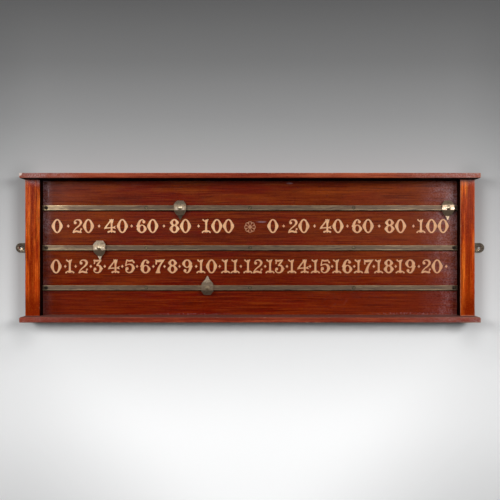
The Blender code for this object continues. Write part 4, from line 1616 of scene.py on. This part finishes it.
@dataclass
class Pointers:
    """The four sliding pointers: plate, clip, spring and rivet, with how much darker each one and its tip are
    drawn.
    """

    plate_edge: float = 0.00022
    clip_edge: float = 0.00010
    tip_level: float = -0.0155
    turned: str = "lower_pointer"
    darkening: Mapping[str, float] = field(
        default_factory=lambda: {
            "upper_left_pointer": 0.22, "upper_right_pointer": -1.0,
            "middle_pointer": 0.12, "lower_pointer": 0.60,
        },
    )
    tips: Mapping[str, float] = field(
        default_factory=lambda: {"upper_left_pointer": 1.0, "lower_pointer": 0.0},
    )

    def build(self) -> None:
        """Makes the pieces of every pointer."""
        plate, clip, rivet = ((brass, brass.material()) for brass in (PLATE_BRASS, CLIP_BRASS, RIVET_BRASS))
        parts = {"plate": plate, "clip": clip, "spring": clip, "rivet": rivet}
        for name in self.darkening:
            for part, (brass, finish) in parts.items():
                node = f"{name}_{part}"
                mesh = refined(node, self.plate_edge if part == "plate" else self.clip_edge, 2)
                self.mark(mesh, name)
                settle(shown(node + "_brass", mesh, finish), name, [node])

    def mark(self, mesh: Mesh, name: str) -> None:
        """Stores each vertex's place from the rivet's middle, with Z away from the tip, and how much darker it
        is drawn.

        Args:
            mesh: The mesh.
            name: The pointer's name.
        """
        middle = sum(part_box(f"{name}_rivet"), Vector()) / 2
        turn = -1.0 if name == self.turned else 1.0
        placed_from(mesh, middle, turn)
        for vertex, item in zip(mesh.vertices, mesh.attributes[SHADE_AND_DARKENING].data):
            tip = (vertex.co.z - middle.z) * turn < self.tip_level
            item.value = self.tips.get(name, self.darkening[name]) if tip else self.darkening[name]


@dataclass
class HangingPlates:
    """The two brass hanging plates, rubbed bright around their holes, with a painted highlight there."""

    edge: float = 0.0003
    hole_out: float = 0.01925
    rub_radius: float = 0.0048
    rub_and_glint_shares: tuple[float, float] = (0.95, 0.35)

    def build(self) -> None:
        """Eases the plates' edges and gives them their patina."""
        low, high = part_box("left_hanging_plate")
        out, level = self.hole_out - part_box("left_stile")[0].x, (low.z + high.z) / 2
        holes = (Vector((-out, low.y, level)), Vector((out, low.y, level)))
        # Bright spots round both holes, rubbed brass with a painted highlight, stronger on the left.
        rubbed = [(hole, self.rub_radius, share) for hole, share in zip(holes, self.rub_and_glint_shares)]
        finish = HANGER_BRASS.material(rubbed)
        for hand in HANDS:
            node = f"{hand}_hanging_plate"
            settle(shown(node + "_brass", refined(node, self.edge), finish), BOARD, [node])


@dataclass
class Studio:
    """The camera, the soft lights, the wall that the board hangs on and the pale floor."""

    eye: Vector = field(default_factory=lambda: Vector((0.0, -1.561, -0.0045)))
    lens: float = 54.5
    lamps: tuple[tuple[str, tuple[float, float, float], Point, float], ...] = (
        ("key_left", (-1.40, -2.00, 0.50), (1.0, 0.7), 26.0),
        ("key_right", (1.40, -2.00, 0.50), (1.0, 0.7), 27.5),
        ("fill_front", (0.10, -1.64, 0.09), (1.5, 0.24), 1.6),
        ("fill_back", (0.50, 2.40, 0.90), (1.6, 0.8), 24.0),
    )
    wall_gap: float = 0.0006
    wall_half_width: float = 4.5
    wall_top: float = 3.0
    floor_height: float = -1.30
    room_radius: float = 4.6
    room_bend: float = 1.2
    room_rise: float = 1.6
    bend_steps: int = 12
    room_sides: int = 72
    low_sky: float = 0.02
    high_sky: float = 0.20
    mirrored_sky: float = 0.9
    middle_greys: tuple[tuple[float, int], ...] = (
        (0.10, 253), (0.30, 250), (0.57, 198), (0.76, 152), (0.87, 124), (1.0, 98),
    )
    side_greys: tuple[tuple[float, int], ...] = (
        (0.0, 212), (0.25, 238), (0.34, 232), (0.42, 219), (0.57, 193), (0.76, 144), (0.87, 118), (1.0, 97),
    )

    def build(self) -> None:
        """Sets up the whole studio."""
        self.camera()
        for lamp in self.lamps:
            self.light(*lamp)
        self.sky()
        self.wall()
        self.room()

    def camera(self) -> None:
        """Stands the camera square in front of the board."""
        camera = bpy.data.objects.new("camera", bpy.data.cameras.new("camera"))
        camera.location = self.eye
        camera.rotation_euler = Facing.FRONT.value
        camera.data.lens = self.lens
        bpy.context.scene.collection.objects.link(camera)
        bpy.context.scene.camera = camera

    def light(self, name: str, place: tuple[float, float, float], size: Point, power: float) -> None:
        """Hangs one soft light that looks at the board's middle.

        Args:
            name: Its name.
            place: Its middle.
            size: Its width and height.
            power: Its power in watts.
        """
        lamp = bpy.data.lights.new(name, "AREA")
        lamp.shape = "RECTANGLE"
        lamp.size, lamp.size_y = size
        lamp.energy = power
        holder = bpy.data.objects.new(name, lamp)
        holder.location = place
        holder.rotation_euler = (-Vector(place)).to_track_quat("-Z", "Y").to_euler()
        holder.visible_camera = False
        bpy.context.scene.collection.objects.link(holder)

    def sky(self) -> None:
        """Gives the world a weak light from above, which mirrors show only overhead and in front."""
        world = bpy.data.worlds.new("studio")
        bpy.context.scene.world = world
        world.use_nodes = True
        graph = Graph(world.node_tree)
        _, depth, height = graph.axes(graph.add("ShaderNodeTexCoord").outputs["Generated"])
        diffuse = graph.fade(height, -0.3, 0.5, self.low_sky, self.high_sky)
        glossy = graph.fade(height, 0.25, 0.75, 0.01, self.mirrored_sky)
        glossy = graph.times(glossy, graph.fade(depth, 0.05, -0.35, 0.05, 1.0))
        mirrored = graph.add("ShaderNodeLightPath").outputs["Is Glossy Ray"]
        level = graph.fade(mirrored, 0.0, 1.0, diffuse, glossy)
        glow = graph.add("ShaderNodeBackground", {"Color": (0.95, 0.97, 1.0, 1.0), "Strength": level})
        graph.add("ShaderNodeOutputWorld", {"Surface": glow.outputs[0]})

    def surface(self, name: str, one_sided: bool) -> Material:
        """Makes the grey of the wall and the room, dark above and pale below.

        Args:
            name: The material's name.
            one_sided: Whether it is the wall's, which vanishes when it is seen from behind.

        Returns:
            The material.
        """
        graph = ShaderGraph(name)
        x, _, z = graph.axes(graph.place)
        height = graph.line(z, 0.96, 0.5)
        colour = self.greys(graph, height, self.side_greys)
        if one_sided:
            reach = graph.math("MINIMUM", graph.line(z, 1.17, 0.62, clamp=True), 0.42)
            centre = graph.fade(graph.size(x), 0.54, 0.40)
            graph.feed(centre.node.inputs["From Min"], reach)
            colour = graph.mix(centre, colour, self.greys(graph, height, self.middle_greys))
            colour = graph.mix(self.shade(graph, x, z), colour, BLACK)
        # Painted glow: the wall and the room glow a little, most towards the bottom.
        painted_glow = graph.fade(z, -0.40, -0.14, 0.27, 0.05)
        graph.dress(base_color=colour, emission_color=colour, emission_strength=painted_glow)
        graph.dress(roughness=0.9, specular_ior_level=0.1)
        if one_sided:
            clear = graph.add("ShaderNodeBsdfTransparent")
            back = graph.add("ShaderNodeNewGeometry").outputs["Backfacing"]
            shaders = {0: back, 1: graph.shader.outputs[0], 2: clear.outputs[0]}
            mixed = graph.add("ShaderNodeMixShader", shaders)
            graph.tree.links.new(mixed.outputs[0], graph.output.inputs["Surface"])
        return graph.material

    def shade(self, graph: ShaderGraph, x: Socket, z: Socket) -> Socket:
        """Works out the soft shade on the wall beside the stiles and under the shelves' ends.

        Args:
            graph: The material's tree.
            x: The place along the wall.
            z: The height.

        Returns:
            The share of shade.
        """
        off = graph.size(graph.plus(x, 0.007))
        beside = graph.times(graph.fade(off, 0.502, 0.463, 0.0, 0.17), graph.fade(off, 0.415, 0.463))
        level = graph.times(graph.fade(z, -0.230, -0.160), graph.fade(z, 0.190, 0.140))
        under = graph.times(graph.fade(off, 0.500, 0.446, 0.0, 0.22), graph.fade(off, 0.405, 0.440))
        below = graph.times(graph.fade(z, -0.190, -0.160), graph.fade(z, -0.120, -0.145))
        return graph.most(graph.times(beside, level), graph.times(under, below))

    def greys(self, graph: ShaderGraph, height: Any, stops: Iterable[tuple[float, int]]) -> Socket:
        """Runs a height through a row of greys with levels from 0 to 255."""
        return graph.ramp(height, *((place, tone(level, level, level)) for place, level in stops))

    def wall(self) -> None:
        """Sets the wall close behind the board. Only the camera sees it, and only from the front."""
        across, low, high = self.wall_half_width, self.floor_height, self.wall_top
        corners = ((-across, low), (across, low), (across, high), (-across, high))
        mesh = bpy.data.meshes.new("wall")
        mesh.from_pydata([(x, self.wall_gap, z) for x, z in corners], [], [(0, 1, 2, 3)])
        wall = shown("wall", mesh, self.surface("wall_paint", True))
        for ray in ("diffuse", "glossy", "transmission", "shadow"):
            setattr(wall, f"visible_{ray}", False)

    def room(self) -> None:
        """Sweeps a pale floor up into a round backdrop."""
        flat, bend, floor = self.room_radius - self.room_bend, self.room_bend, self.floor_height
        angles = [QUARTER * step / self.bend_steps for step in range(1, self.bend_steps + 1)]
        profile = [(0.0, floor), (flat, floor)]
        profile += [(flat + bend * math.sin(angle), floor + bend * (1 - math.cos(angle))) for angle in angles]
        profile.append((self.room_radius, floor + bend + self.room_rise))
        shape = bmesh.new()
        points = [shape.verts.new((r, 0.0, z)) for r, z in profile]
        edges = [shape.edges.new(pair) for pair in zip(points, points[1:])]
        axis = (0.0, 0.0, 1.0)
        bmesh.ops.spin(shape, geom=points + edges, axis=axis, angle=2 * math.pi, steps=self.room_sides)
        bmesh.ops.remove_doubles(shape, verts=shape.verts, dist=MERGE)
        bmesh.ops.recalc_face_normals(shape, faces=shape.faces)
        room = shown("room", smooth(shape, "room", sharp=False), self.surface("room_paint", False))
        room.visible_diffuse = room.visible_glossy = room.visible_shadow = False


def main() -> None:
    """Builds the scoreboard's looks and its studio."""
    logging.basicConfig(level=logging.INFO, format="%(message)s")
    bpy.context.scene.view_settings.view_transform = "Standard"
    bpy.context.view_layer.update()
    Studio().build()
    Woodwork().build()
    Rails().build()
    Screws().build()
    Pointers().build()
    HangingPlates().build()
    Lettering().build()


if __name__ == "__main__":
    main()
